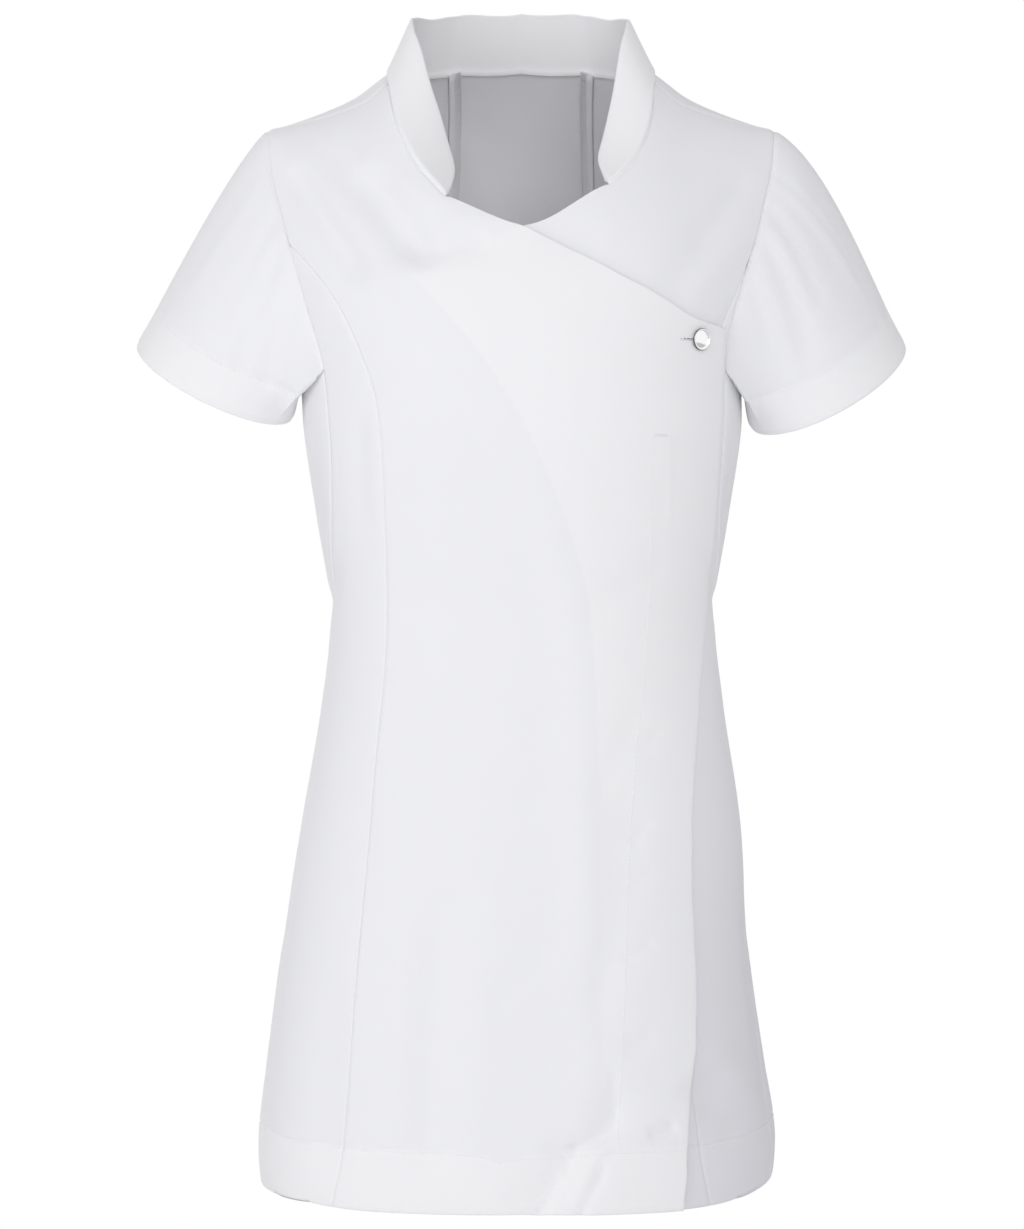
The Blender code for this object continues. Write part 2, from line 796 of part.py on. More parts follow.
def sleeve(name, side):
    """Each line of the sleeve runs from its armhole station to the loop of the sleeve hem."""
    shape = SLEEVES[side]
    outwards = Vector((side, 1, 1))
    starts = [form(*station) * outwards for station in armhole_loop(side)]
    normals = [normal(*station) * outwards for station in armhole_loop(side)]
    middle = sum(starts, Vector()) / len(starts)
    rows = [[] for _ in range(SLEEVE_ROWS + 1)]
    top_shares = []
    for here, up in zip(starts, normals):
        turn = math.atan2(middle.y - here.y, here.z - middle.z)
        top_share = (1 + math.cos(turn)) / 2   # 1 over the shoulder, 0 under the arm
        top_shares.append(top_share)
        cuff = shape["middle"] + shape["across"] * math.cos(turn) + shape["depth"] * math.sin(turn)
        leave = shape["fall"].lerp(shape["leave"], top_share)
        leave.y -= math.sin(turn) * SLEEVE_BELLY
        leave.normalize()
        start = here + (leave + up * (1.2 - top_share)).normalized() * SEAM_GAP
        reach = (cuff - start).length
        fold = 1 - SLEEVE_HEM_DEPTH / max(reach, 2 * SLEEVE_HEM_DEPTH)
        for j in range(SLEEVE_ROWS + 1):
            t = 1.0 if j == SLEEVE_ROWS else fold * j / (SLEEVE_ROWS - 1)
            point = (
                (1 + 2 * t) * (1 - t) ** 2 * start
                + t * (1 - t) ** 2 * leave * reach * shape["pull"]
                + t * t * (3 - 2 * t) * cuff
                - t * t * (1 - t) * shape["fall"] * reach * shape["pull"]
            )
            rows[j].append(point * outwards)   # back to the sleeve's own side
    inner = []
    for j, row in enumerate(rows):
        above, below = rows[max(j - 1, 0)], rows[min(j + 1, SLEEVE_ROWS)]
        centre = sum(row, Vector()) / len(row)
        inner.append([])
        for n, point in enumerate(row):
            up = (below[n] - above[n]).cross(row[(n + 1) % len(row)] - row[n - 1]).normalized()
            if up.dot(point - centre) < 0:
                up.negate()
            if j == 0:
                up = up.lerp(normals[n] * outwards, top_shares[n]).normalized()
            inner[-1].append(point - up * wall_at(j, rows))
    cloth(name, closed(rows), closed(inner))


# ---------------------------------------------------------------- collar
def neckline():
    """The collar seam from its front end on the wearer's right, round the back, to the left."""
    nape, middle = neck_back()
    behind = nape[1:] + middle[1:]
    places = neck_front(NECK_RIGHT)[::-1] + mirrored(behind)[:-1]
    return places + behind[::-1] + neck_front(NECK_LEFT)


def collar():
    """It stands on the seam, its outer face proud of the panels by its own thickness."""
    seam = [form(angle, over) for angle, over in neckline()]
    run = [0.0]
    for before, after in zip(seam, seam[1:]):
        run.append(run[-1] + (after - before).length)
    outer = [[] for _ in range(COLLAR_ROWS + 1)]
    inner = [[] for _ in range(COLLAR_ROWS + 1)]
    for n, foot in enumerate(seam):
        along = abs(2 * run[n] / run[-1] - 1)
        height, lean = smooth(COLLAR, along, 1), math.radians(smooth(COLLAR, along, 2))
        inwards = Vector((-foot.x, -foot.y, 0)).normalized()
        rise = inwards * math.sin(lean) + Vector((0, 0, math.cos(lean)))
        ahead = seam[min(n + 1, len(seam) - 1)] - seam[max(n - 1, 0)]
        away = rise.cross(ahead).normalized()
        for j in range(COLLAR_ROWS + 1):
            reach = SEAM_GAP + (height - SEAM_GAP) * (1 - j / COLLAR_ROWS)
            inner[j].append(foot + rise * reach)
            outer[j].append(inner[j][-1] + away * COLLAR_WALL)
    cloth("collar", outer, inner)


# ---------------------------------------------------------------- button
def button_frame():
    """The button's axes, standing on the form, and the over-layer's lift there."""
    angle, over = at_out(*BUTTON_PLACE)
    up = normal(angle, over)
    across = Vector((1, 0, 0))
    across = (across - up * across.dot(up)).normalized()
    turn = Matrix((across, up.cross(across), up)).transposed().to_4x4()
    return Matrix.Translation(form(angle, over)) @ turn, wrap_lift(*BUTTON_PLACE)


def cut_buttonhole(panel):
    frame, lift = button_frame()
    depth = 8 * WALL
    bpy.ops.mesh.primitive_cylinder_add(vertices=20, radius=SHANK_CLEAR, depth=depth)
    hole = bpy.context.object
    bpy.ops.mesh.primitive_cube_add(size=1)
    slit = bpy.context.object
    slit.data.transform(Matrix.Diagonal((BUTTONHOLE_LENGTH, BUTTONHOLE_WIDTH, depth, 1)))
    slit.data.transform(Matrix.Translation((BUTTONHOLE_PAST - BUTTONHOLE_LENGTH / 2, 0, 0)))
    for name, cutter in (("buttonhole_round", hole), ("buttonhole_slit", slit)):
        cutter.name = name
        cutter.matrix_world = frame @ Matrix.Translation((0, 0, lift))
        cutter.hide_render = True
        cutter.display_type = "WIRE"
        for collection in list(cutter.users_collection):
            collection.objects.unlink(cutter)
        cutters.objects.link(cutter)
        cut = panel.modifiers.new(name, "BOOLEAN")
        cut.operation = "DIFFERENCE"
        cut.object = cutter


def button():
    """A turned button: a low dome with a rounded rim on a shank sewn to the under-layer."""
    frame, lift = button_frame()
    under = lift + SEAM_GAP
    edge = under + BUTTON_RIM / 2
    profile = [(0.0, under + BUTTON_RIM + BUTTON_DOME)]
    for n in range(1, 5):
        out = (BUTTON_RADIUS - BUTTON_RIM / 2) * n / 4
        bulge = BUTTON_DOME * (1 - (n / 4) ** 2)
        profile.append((out, under + BUTTON_RIM + bulge))
    for n in range(1, 5):
        turn = math.pi / 2 - math.pi * n / 5
        profile.append(
            (
                BUTTON_RADIUS - BUTTON_RIM / 2 * (1 - math.cos(turn)),
                edge + BUTTON_RIM / 2 * math.sin(turn),
            )
        )
    profile += [
        (BUTTON_RADIUS - BUTTON_RIM / 2, under),
        (SHANK_RADIUS, under),
        (SHANK_RADIUS, SEAM_GAP),
        (0.0, SEAM_GAP),
    ]
    mesh = bpy.data.meshes.new("button")
    outline = bmesh.new()
    points = [outline.verts.new((out, 0, height)) for out, height in profile]
    for a, b in zip(points, points[1:]):
        outline.edges.new((a, b))
    outline.to_mesh(mesh)
    outline.free()
    piece = bpy.data.objects.new("button", mesh)
    turned = piece.modifiers.new("turned", "SCREW")
    turned.steps = turned.render_steps = 24
    turned.use_merge_vertices = True
    turned.merge_threshold = 0.00001
    mesh.materials.append(fabric("button_metal", SILVER, 0.18, 1.0))
    piece.matrix_world = frame
    tunic.objects.link(piece)


# ---------------------------------------------------------------- the tunic
for old in list(bpy.data.objects):
    bpy.data.objects.remove(old)
tunic = bpy.data.collections.new("beautician_tunic")
cutters = bpy.data.collections.new("cutters")
bpy.context.scene.collection.children.link(tunic)
bpy.context.scene.collection.children.link(cutters)

cut_buttonhole(over_layer())
under_layer()
side_front("front_right_side", PRINCESS_RIGHT, -1)
side_front("front_left_side", PRINCESS_LEFT, 1)
side_back("back_right_side", -1)
side_back("back_left_side", 1)
back_centre()
sleeve("sleeve_right", -1)
sleeve("sleeve_left", 1)
collar()
button()
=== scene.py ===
# %% [markdown]
# # A beautician's tunic in white twill
# The tunic is a wrap front on a stand collar, with short set-in sleeves, princess seams and one
# metal button. It is shown filled out, as if it were worn by somebody who can't be seen. The
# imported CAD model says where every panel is. This lesson builds the cloth itself over it: fine
# meshes with folds, rolled seams, turned-up hems and real stitches, and then the finishes.

# %% Load the frame
import math

import bpy
import numpy as np
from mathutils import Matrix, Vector
from mathutils.bvhtree import BVHTree


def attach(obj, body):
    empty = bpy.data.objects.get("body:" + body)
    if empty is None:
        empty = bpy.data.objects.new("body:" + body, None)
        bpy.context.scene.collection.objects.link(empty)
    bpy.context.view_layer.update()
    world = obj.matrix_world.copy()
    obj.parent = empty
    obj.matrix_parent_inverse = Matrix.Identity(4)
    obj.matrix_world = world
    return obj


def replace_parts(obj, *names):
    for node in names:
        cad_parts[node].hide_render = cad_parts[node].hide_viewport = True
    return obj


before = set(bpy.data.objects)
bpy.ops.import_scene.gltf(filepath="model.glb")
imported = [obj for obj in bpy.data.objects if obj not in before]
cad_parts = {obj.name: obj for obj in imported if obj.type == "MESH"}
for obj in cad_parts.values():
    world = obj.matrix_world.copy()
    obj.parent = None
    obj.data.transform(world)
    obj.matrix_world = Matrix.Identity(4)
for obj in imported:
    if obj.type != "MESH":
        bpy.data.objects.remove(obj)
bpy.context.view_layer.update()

# %% [markdown]
# ## The camera
# A camera far away with a long lens flattens the garment a little, as a catalogue photograph
# does. Here it stands 3.2 m in front of the shoulders, level with the waist, and looks straight
# ahead. One pixel of the 1024 by 1229 picture is then 0.69 mm at the shoulders.

# %% Camera
CAMERA_PLACE = (-0.0062, -3.2, -0.365)
PIXEL = 0.00069
PICTURE_HEIGHT = 1229
SENSOR = 36.0

camera_data = bpy.data.cameras.new("camera")
camera_data.sensor_width = SENSOR
camera_data.lens = SENSOR * -CAMERA_PLACE[1] / (PICTURE_HEIGHT * PIXEL)
camera = bpy.data.objects.new("camera", camera_data)
camera.location = CAMERA_PLACE
camera.rotation_euler = (math.radians(90), 0, 0)
bpy.context.scene.collection.objects.link(camera)
bpy.context.scene.camera = camera
print("lens, mm:", round(camera_data.lens, 1))

# %% [markdown]
# ## Smooth curves through short tables
# A pattern cutter marks a few measures and draws a smooth curve through them. We do the same:
# each table has a few rows, and `smooth` reads any place between them. Lengths in the tables are
# in millimetres, as on a pattern, and `mm` turns them into metres. Everything works on whole
# numpy arrays at once, because a fine mesh has many thousands of points.

# %% Curves
def hermite(t, start, leave, end, arrive):
    """A smooth way from start to end, as t goes from 0 to 1, with a given slope at both."""
    first = (1 + 2 * t) * (1 - t) ** 2 * start + t * (1 - t) ** 2 * leave
    return first + t * t * (3 - 2 * t) * end - t * t * (1 - t) * arrive


def smooth(table, at, column=1):
    """A column's value at places between the rows, on a smooth curve through them."""
    rows = np.array(table, float)
    keys, values = rows[:, 0], rows[:, column]
    last = len(keys) - 1
    low = np.maximum(np.arange(last + 1) - 1, 0)
    high = np.minimum(np.arange(last + 1) + 1, last)
    slopes = (values[high] - values[low]) / (keys[high] - keys[low])
    at = np.clip(at, keys[0], keys[-1])
    i = np.clip(np.searchsorted(keys, at, side="right") - 1, 0, last - 1)
    span = keys[i + 1] - keys[i]
    t = (at - keys[i]) / span
    return hermite(t, values[i], span * slopes[i], values[i + 1], span * slopes[i + 1])


def mm(*rows):
    """A table written in millimetres, as metres."""
    return np.array(rows) / 1000


def ease(t):
    """0 below 0, 1 above 1, and a soft step between."""
    t = np.clip(t, 0.0, 1.0)
    return t * t * (3 - 2 * t)


def bell(distance, width):
    """1 at distance 0, and soon 0 past the width."""
    return np.exp(-((distance / width) ** 2))


def unit(vectors):
    return vectors / np.maximum(np.linalg.norm(vectors, axis=-1, keepdims=True), 1e-12)


def run_along(line, weights=1):
    """The length from the start of a line to each of its points."""
    steps = np.linalg.norm(np.diff(line, axis=0) * np.array(weights), axis=1)
    return np.concatenate([[0], np.cumsum(steps)])


def read_off(line, run, goals):
    """A line's points at given lengths along it."""
    return np.stack([np.interp(goals, run, column) for column in line.T], axis=1)


def curve(points, cells, weights=1):
    """A curve through a few points, cut into cells of equal length."""
    p = np.array(points, float)
    p = np.concatenate([p[:1], p, p[-1:]])
    t = np.linspace(0, 1, 40, endpoint=False)[:, None]
    fine = []
    for a, b, c, d in zip(p, p[1:], p[2:], p[3:]):
        bend = (2 * a - 5 * b + 4 * c - d) * t * t + (3 * b - a - 3 * c + d) * t ** 3
        fine.append(0.5 * (2 * b + (c - a) * t + bend))
    fine = np.concatenate(fine + [p[-1:]])
    run = run_along(fine, weights)
    return read_off(fine, run, np.linspace(0, run[-1], cells + 1))


# %% [markdown]
# ## The body form
# The tunic keeps the shape of a general figure. The form is a stack of rounded sections under a
# shoulder line. A place on it is two numbers: the angle round the body (0 at the centre front,
# 180 at the centre back, plus on the wearer's left) and the distance over the shoulder line.
# These are the same measures as in the CAD source, so the cloth lies on its solids.

# %% The form's tables
HEM_LEVEL = -0.763
HEM_DEPTH = 0.041
SLEEVE_HEM_DEPTH = 0.029
SIDE_SEAM_TOP = -0.200
LAYER_LIFT = 0.0034        # how far the over-layer stands off the form where it overlaps
COLLAR_WALL = 0.0022

BODY = mm(
    # level, half_width, front, back, shift
    (-770, 175, 126, 125, -3), (-735, 177.5, 125, 124, -3), (-680, 171, 121, 122, -4),
    (-590, 160, 115, 118, -4), (-507, 151, 109, 111, 0), (-424, 138, 103, 101, 1),
    (-362, 132.5, 100, 96, 1), (-300, 141.5, 108, 100, 1), (-240, 150.5, 118, 107, 1),
    (-195, 153, 121, 112, 0), (-150, 166, 117, 114, 0), (-105, 179, 107, 113, 0),
    (-50, 189, 94, 110, 0), (60, 190, 82, 100, 0),
)
SQUARE = 2.3
FRONT_ROUND = 0.150
BACK_ROUND = 0.100
OVER_ROUND = 0.100
SHOULDER_LINE = mm(
    # out, level
    (0, 45), (45, 36.5), (75, 19), (95.5, 5), (113, -8.3), (134, -18.2), (160, -27.5),
    (177, -32.5), (200, -49),
)
HEM_RISE = (
    # angle, rise
    (-180, 0.003), (-90, 0.008), (-60, 0.005), (-30, 0.001), (30, 0.001), (52, 0.004),
    (75, 0.011), (92, 0.014), (120, 0.01), (180, 0.003),
)
HEM_RISE_FROM = -0.600
HEM_RISE_TO = -0.740
LARGE_FRONT_FOLDS = mm(
    # out, level, to_out, to_level, width, depth
    (-165, -52, -107, -137, 11, 5), (-129, -51, -71, -121, 13, 5), (151, -73, 101, -148, 14, 3),
    (-54, -561, -61, -735, 18, 4), (70, -489, 49, -635, 14, 1.4), (66, -692, -1, -759, 14, 3.6),
    (124, -677, 146, -715, 12, 3.5),
)
LARGE_BACK_FOLDS = mm(
    (-90, -290, -15, -350, 14, 5), (95, -310, 20, -372, 15, 5.5), (120, -110, 70, -200, 14, 5),
    (-125, -120, -80, -215, 14, 4.5), (40, -560, 48, -735, 18, 7),
    (-55, -590, -64, -740, 17, 6.5),
)


# %% Places on the form
def drop_of(over):
    over = np.abs(over)
    quarter = OVER_ROUND * math.pi / 2
    bent = OVER_ROUND * (1 - np.cos(np.minimum(over, quarter) / OVER_ROUND))
    return np.where(over < quarter, bent, OVER_ROUND + over - quarter)


def over_of(drop):
    drop = np.maximum(drop, 0.0)
    bent = OVER_ROUND * np.arccos(np.clip(1 - drop / OVER_ROUND, -1, 1))
    return np.where(drop < OVER_ROUND, bent, drop - OVER_ROUND + OVER_ROUND * math.pi / 2)


def out_of(angle, level):
    side = np.sin(np.radians(angle))
    reach = smooth(BODY, level, 1) * np.abs(side) ** (2 / SQUARE)
    return smooth(BODY, level, 4) + np.copysign(reach, side)


def angle_at(out, level, behind=False):
    from_middle = out - smooth(BODY, level, 4)
    share = np.minimum(np.abs(from_middle) / smooth(BODY, level, 1), 1.0)
    angle = np.degrees(np.arcsin(share ** (SQUARE / 2)))
    return np.copysign(180 - angle if behind else angle, from_middle)


def place(angle, level):
    """(angle, over) of a level on the form."""
    over = over_of(smooth(SHOULDER_LINE, np.abs(out_of(angle, level))) - level)
    return np.stack(np.broadcast_arrays(angle, over), axis=-1)


def at_out(out, level, behind=False):
    return place(angle_at(out, level, behind), level)


# %% Troughs, and the form itself
def trough(folds, out, level):
    """How deep the folds dent the cloth here."""
    total = np.zeros(np.shape(out))
    for out_a, level_a, out_b, level_b, width, depth in folds:
        across, down = out_b - out_a, level_b - level_a
        along = ((out - out_a) * across + (level - level_a) * down) / (across ** 2 + down ** 2)
        near = np.clip(along, 0, 1)
        away = np.hypot(out - out_a - across * near, level - level_a - down * near)
        fade = ease((along + 0.25) * 2.5) * ease((1.25 - along) * 2.5)
        total += depth * fade * bell(away, width)
    return total


def form(places):
    """Points of the body form at an array of places."""
    angle, over = places[..., 0], places[..., 1]
    drop = drop_of(over)
    level = np.full(angle.shape, -0.1)
    for _ in range(20):
        out = out_of(angle, level)
        level = smooth(SHOULDER_LINE, np.abs(out)) - drop
    share = np.abs(np.cos(np.radians(angle))) ** (2 / SQUARE)
    in_front = (np.abs(angle) <= 90) | (over < 0)
    rounding = np.where(in_front, FRONT_ROUND, BACK_ROUND)
    rise = np.sqrt(np.clip(1 - (1 - np.minimum(drop / rounding, 1)) ** 2, 0, 1))
    full = np.where(in_front, smooth(BODY, level, 2), smooth(BODY, level, 3))
    folds = np.where(
        in_front, trough(LARGE_FRONT_FOLDS, out, level), trough(LARGE_BACK_FOLDS, out, level)
    )
    depth = (full - folds) * share * rise
    all_round = (angle + 180) % 360 - 180
    hem_share = ease((HEM_RISE_FROM - level) / (HEM_RISE_FROM - HEM_RISE_TO))
    level = level + smooth(HEM_RISE, all_round) * hem_share
    return np.stack([out, np.where(in_front, -depth, depth), level], axis=-1)


def form_normals(places):
    step_angle, step_over = np.array([0.4, 0.0]), np.array([0.0, 0.0012])
    round_it = form(places + step_angle) - form(places - step_angle)
    down_it = form(places + step_over) - form(places - step_over)
    return unit(np.cross(down_it, round_it))


middle_front = form(np.array([[0.0, 0.30]]))[0]
print("the form at the middle of the chest:", middle_front.round(4))

# %% [markdown]
# ## The cut
# A tunic's shape comes from its seams. Here each seam is a line of places on the form, read from
# a short table in the maker's order: shoulder seam, neck, wrap edge, princess seams, back seams,
# side seams and armholes. Panels that meet share the same line, so that no gap opens.

# %% Seam tables
SHOULDER_END = 0.1745
SHOULDER_SEAM = mm(
    # out, drop below the shoulder line
    (91, 9), (102, 11), (117, 8), (137, 4.5), (157, 1.8), (175, 0.8),
)
NECK_BACK = mm(
    # out, over the shoulder line to the back (minus: in front of it)
    (90.5, -18), (87.5, 12), (74.5, 42), (51.5, 62), (26, 71), (0, 74),
)
NAPE_END = 0.0620
BACK_SEAM_START = -0.010
NECK_RIGHT = mm(
    # out, level
    (-86.2, -28.5), (-77.8, -49), (-67.4, -66.5), (-51, -85.5),
)
NECK_LEFT = mm(
    (89, -27), (83.5, -47), (74.2, -62.5), (59.2, -76.7),
)
WRAP_EDGE = mm(
    (-51, -85.5), (0, -106), (46, -129), (86, -150), (135, -172),
)
UNDER_EDGE = mm(
    (59.2, -76.7), (0, -106), (-71.5, -140),
)
FRONT_EDGE = mm(
    # level, out
    (-763, 106), (-700, 110.5), (-640, 115.5), (-520, 112.5), (-410, 119), (-300, 129),
    (-172, 135),
)
HIDDEN_EDGE = mm(
    (-763, 54), (-600, 53), (-456, 51), (-361, 45), (-313, 33.5), (-245, 5.3), (-191, -27.4),
    (-140, -71.5),
)
PRINCESS_RIGHT = mm(
    (-763, -126.5), (-720, -119), (-613, -111), (-463, -98), (-389, -91.3), (-322, -91.3),
    (-249, -93.8), (-218, -98.5), (-188, -108.7), (-156, -124), (-130, -143),
)
PRINCESS_LEFT = mm(
    (-763, 126.5), (-720, 119), (-613, 111), (-463, 98), (-389, 92.5), (-322, 95.5), (-249, 106),
    (-200, 122), (-170, 137),
)
PRINCESS_TOP = {-1: -0.114, 1: -0.123}
BACK_SEAM = mm(
    (-763, 85), (-560, 70), (-370, 56), (-200, 56), (0, 51),
)
SIDE_SEAM = (
    # level, angle on the right, angle on the left
    (HEM_LEVEL, 80, 77), (-0.66, 86, 84), (-0.58, 90, 91), (-0.44, 90, 91), (-0.385, 86, 88),
    (-0.34, 74, 79), (-0.31, 67, 72), (-0.28, 62, 67), (-0.245, 58.5, 64),
    (SIDE_SEAM_TOP, 59.5, 64),
)
ARMHOLE_FRONT = (
    (SIDE_SEAM_TOP, 59.5, 64), (-0.18, 60.3, 62), (-0.15, 61, 61), (-0.11, 61.5, 61.5),
    (-0.08, 63, 63), (-0.04, 65.6, 65.6),
)
ARMHOLE_BACK = (
    # angle, level
    (116, -0.06), (118, -0.1), (117, -0.14), (112, -0.173), (102, -0.195), (90, -0.206),
    (76, -0.207),
)

# How many cells each stretch has.
LOW_ROWS = 220
YOKE_ROWS = 32
BUST_ROWS = 30
BLADE_ROWS = 72
SHOULDER_CELLS = 22
NECK_CELLS = 22
NAPE_CELLS = 14
BACK_CELLS = 28
WRAP_CELLS = 56
UNDER_CELLS = 36
SIDE_CELLS = 22
DEGREE = 0.0026            # about one degree round the body, as a length
EVEN = (DEGREE, 1)


# %% Seams as lines of places
def levels_down(top, cells):
    return np.linspace(top, HEM_LEVEL, cells + 1)


def mirrored(places):
    return places * np.array([-1, 1])


def mirrored_to_hem(seam):
    """The same seam on the other side, where the body is fuller, drawn up to end on the hem."""
    other = mirrored(seam)
    short = place(other[-1, 0], HEM_LEVEL)[1] - other[-1, 1]
    other[:, 1] += short * shares(seam) ** 2
    return other


def behind(places):
    """The same line seen from the back of the form."""
    return np.stack([180 - places[:, 0], -places[:, 1]], axis=1)


def shoulder_seam():
    out = np.linspace(SHOULDER_SEAM[0][0], SHOULDER_END, SHOULDER_CELLS + 1)
    return at_out(out, smooth(SHOULDER_LINE, out) - smooth(SHOULDER_SEAM, out))


def seam_at(table, side, level):
    return place(side * smooth(table, level, 1 if side < 0 else 2), level)


def armhole_front_upper(side):
    tip = shoulder_seam()[-1] * np.array([side, 1])
    rows = seam_at(ARMHOLE_FRONT, side, np.array([-0.060, -0.090, PRINCESS_TOP[side]]))
    return curve([tip, *rows], YOKE_ROWS, EVEN)


def armhole_front_lower(side):
    levels = np.linspace(PRINCESS_TOP[side], SIDE_SEAM_TOP, BUST_ROWS + 1)
    return seam_at(ARMHOLE_FRONT, side, levels)


def armhole_back(side):
    tip = behind(shoulder_seam()[-1:])[0]
    rows = [place(angle, level) for angle, level in ARMHOLE_BACK]
    line = np.array([tip, *rows]) * np.array([side, 1])
    return curve([*line, seam_at(SIDE_SEAM, side, SIDE_SEAM_TOP)], BLADE_ROWS, EVEN)


def princess(table, side):
    top = PRINCESS_TOP[side]
    table = np.vstack([table, [top, out_of(seam_at(ARMHOLE_FRONT, side, top)[0], top)]])
    levels = np.linspace(top, SIDE_SEAM_TOP, BUST_ROWS + 1)
    levels = np.concatenate([levels, levels_down(SIDE_SEAM_TOP, LOW_ROWS)[1:]])
    return at_out(smooth(table, levels), levels)


def side_seam(side):
    return seam_at(SIDE_SEAM, side, levels_down(SIDE_SEAM_TOP, LOW_ROWS))


def waves(along, seed, lengths=(0.0132, 0.0087, 0.0215)):
    """An uneven ripple along a line, between about -1 and 1."""
    random = np.random.default_rng(seed)
    total = sum(np.sin(2 * np.pi * along / (n * random.uniform(0.9, 1.1)) + random.uniform(0, 6))
                for n in lengths)
    swell = 0.55 + 0.45 * np.sin(2 * np.pi * along / 0.11 + random.uniform(0, 6))
    return total / len(lengths) * swell


def free_edge(table, top, scallop=0.0):
    """An edge that hangs free: worn cloth never falls in a quite straight line."""
    levels = levels_down(top, YOKE_ROWS + BUST_ROWS + LOW_ROWS)
    drift = waves(top - levels, 7, (0.041, 0.027, 0.083)) * ease((top - levels) / 0.03)
    edge = at_out(smooth(table, levels), levels)
    edge[:, 0] += scallop * drift / DEGREE
    return edge


def back_seam(top):
    levels = levels_down(BACK_SEAM_START, BLADE_ROWS + LOW_ROWS - 4)
    lower = at_out(smooth(BACK_SEAM, levels), levels, True)
    share = np.linspace(0, 1, 4, endpoint=False)[:, None]
    return np.concatenate([top + (lower[0] - top) * share, lower])


def neck_front(table):
    start = shoulder_seam()[0] * np.array([np.sign(table[0][0]), 1])
    return curve([start, *[at_out(out, level) for out, level in table]], NECK_CELLS, EVEN)


def neck_back():
    """The left half of the collar seam behind, in two stretches that meet at the back seam."""
    whole = [behind(shoulder_seam()[:1])[0]]
    for out, over in NECK_BACK:
        level = smooth(SHOULDER_LINE, out) - drop_of(over)
        whole.append(np.array([angle_at(out, level, True), over]))
    whole[-1] = np.array([180.0, whole[-1][1]])
    side = [row for row in whole if row[1] <= NAPE_END]
    middle = [row for row in whole if row[1] >= NAPE_END]
    return curve(side, NAPE_CELLS, EVEN), curve(middle, BACK_CELLS // 2, EVEN)


def shares(places):
    run = run_along(places, EVEN)
    return run / max(run[-1], 1e-9)


def hem(left, right, fractions):
    line = place(left[0] + (right[0] - left[0]) * fractions, HEM_LEVEL)
    line[0], line[-1] = left, right
    return line


def patch(left, right, top):
    """Rows of places that fill the space between three seams and the hem. Each row shares its
    own width out between the columns, so that they stay in order where the panel is narrow."""
    bottom = hem(left[-1], right[-1], shares(top))
    v = shares(left)[:, None] + (shares(right) - shares(left))[:, None] * shares(top)
    down = np.linspace(0, 1, len(left))[:, None]
    u = shares(top) + (shares(bottom) - shares(top)) * down
    turn = (1 - v) * turn_shares(top) + v * turn_shares(bottom)
    angle = left[:, :1] + (right[:, :1] - left[:, :1]) * turn
    over = (1 - u) * left[:, 1:] + u * right[:, 1:] + (1 - v) * top[:, 1] + v * bottom[:, 1]
    over -= (1 - v) * ((1 - u) * top[0, 1] + u * top[-1, 1])
    over -= v * ((1 - u) * bottom[0, 1] + u * bottom[-1, 1])
    return np.stack([angle, over], axis=-1)


def turn_shares(places):
    return (places[:, 0] - places[0, 0]) / (places[-1, 0] - places[0, 0])


# %% Evening out a grid
EVENING_STEPS = (16, 8, 4, 2, 1)   # every so many lines take part, from coarse to fine
EVENING_ROUNDS = 30


def settle(grid):
    """Winslow's smoothing of a grid inside its edges, black squares and white ones in turn."""
    j, i = np.indices(grid.shape[:2])
    for turn in range(EVENING_ROUNDS * 2):
        east, west = grid[1:-1, 2:], grid[1:-1, :-2]
        south, north = grid[2:, 1:-1], grid[:-2, 1:-1]
        along, fall = east - west, south - north
        twist = grid[2:, 2:] - grid[2:, :-2] - grid[:-2, 2:] + grid[:-2, :-2]
        flat = (along ** 2).sum(axis=-1, keepdims=True)
        steep = (fall ** 2).sum(axis=-1, keepdims=True)
        skew = twist * (along * fall).sum(axis=-1, keepdims=True) / 2
        goal = ((east + west) * steep + (south + north) * flat - skew) / (2 * (steep + flat))
        mine = ((i + j)[1:-1, 1:-1] % 2 == turn % 2)[..., None]
        grid[1:-1, 1:-1] += (goal - grid[1:-1, 1:-1]) * mine
    return grid


def spread(lines, picked, count):
    """Values given on a few picked lines, spread evenly over all the lines between them."""
    at = np.interp(np.arange(count), picked, np.arange(len(picked)))
    low = np.minimum(at.astype(int), len(picked) - 2)
    share = (at - low).reshape(-1, *[1] * (lines.ndim - 1))
    return lines[low] * (1 - share) + lines[low + 1] * share


def every(count, step):
    """One in so many lines of a grid, with its first and its last."""
    return np.unique(np.linspace(0, count - 1, max(count // step, 8)).astype(int))


def evened(places):
    """The same grid with its inner places evened out, so that no cells cross below the neck's
    steep edge. Coarse grids settle first, and carry the fine ones with them."""
    grid = places * np.array(EVEN)
    rows, columns = grid.shape[:2]
    for step in EVENING_STEPS:
        picked_rows, picked_columns = every(rows, step), every(columns, step)
        coarse = grid[picked_rows][:, picked_columns]
        move = settle(coarse.copy()) - coarse
        move = spread(move, picked_rows, rows).swapaxes(0, 1)
        grid = grid + spread(move, picked_columns, columns).swapaxes(0, 1)
    return grid / np.array(EVEN)


# %% [markdown]
# ## Cloth: fine cells, rolled seams, soft puckers
# Where two panels are sewn together the cloth rolls in towards the stitches and leaves a narrow
# furrow, and the thread draws it up into small uneven puckers. So each panel gets extra rows of
# cells close to its seams, and every point is moved along the cloth's normal: in at a seam, up
# and down in the puckers, and in and out in the folds that hang between shoulder, bust and hem.

# %% Seam relief
FURROW_DEPTH = 0.00080
FURROW_WIDTH = 0.00130
PUCKER_DEPTH = 0.00018
PUCKER_START = 0.0016
PUCKER_REACH = 0.0070
FIRST_CELL = (0.16, 0.38, 0.66)   # where extra lines stand in the first cell beside a seam


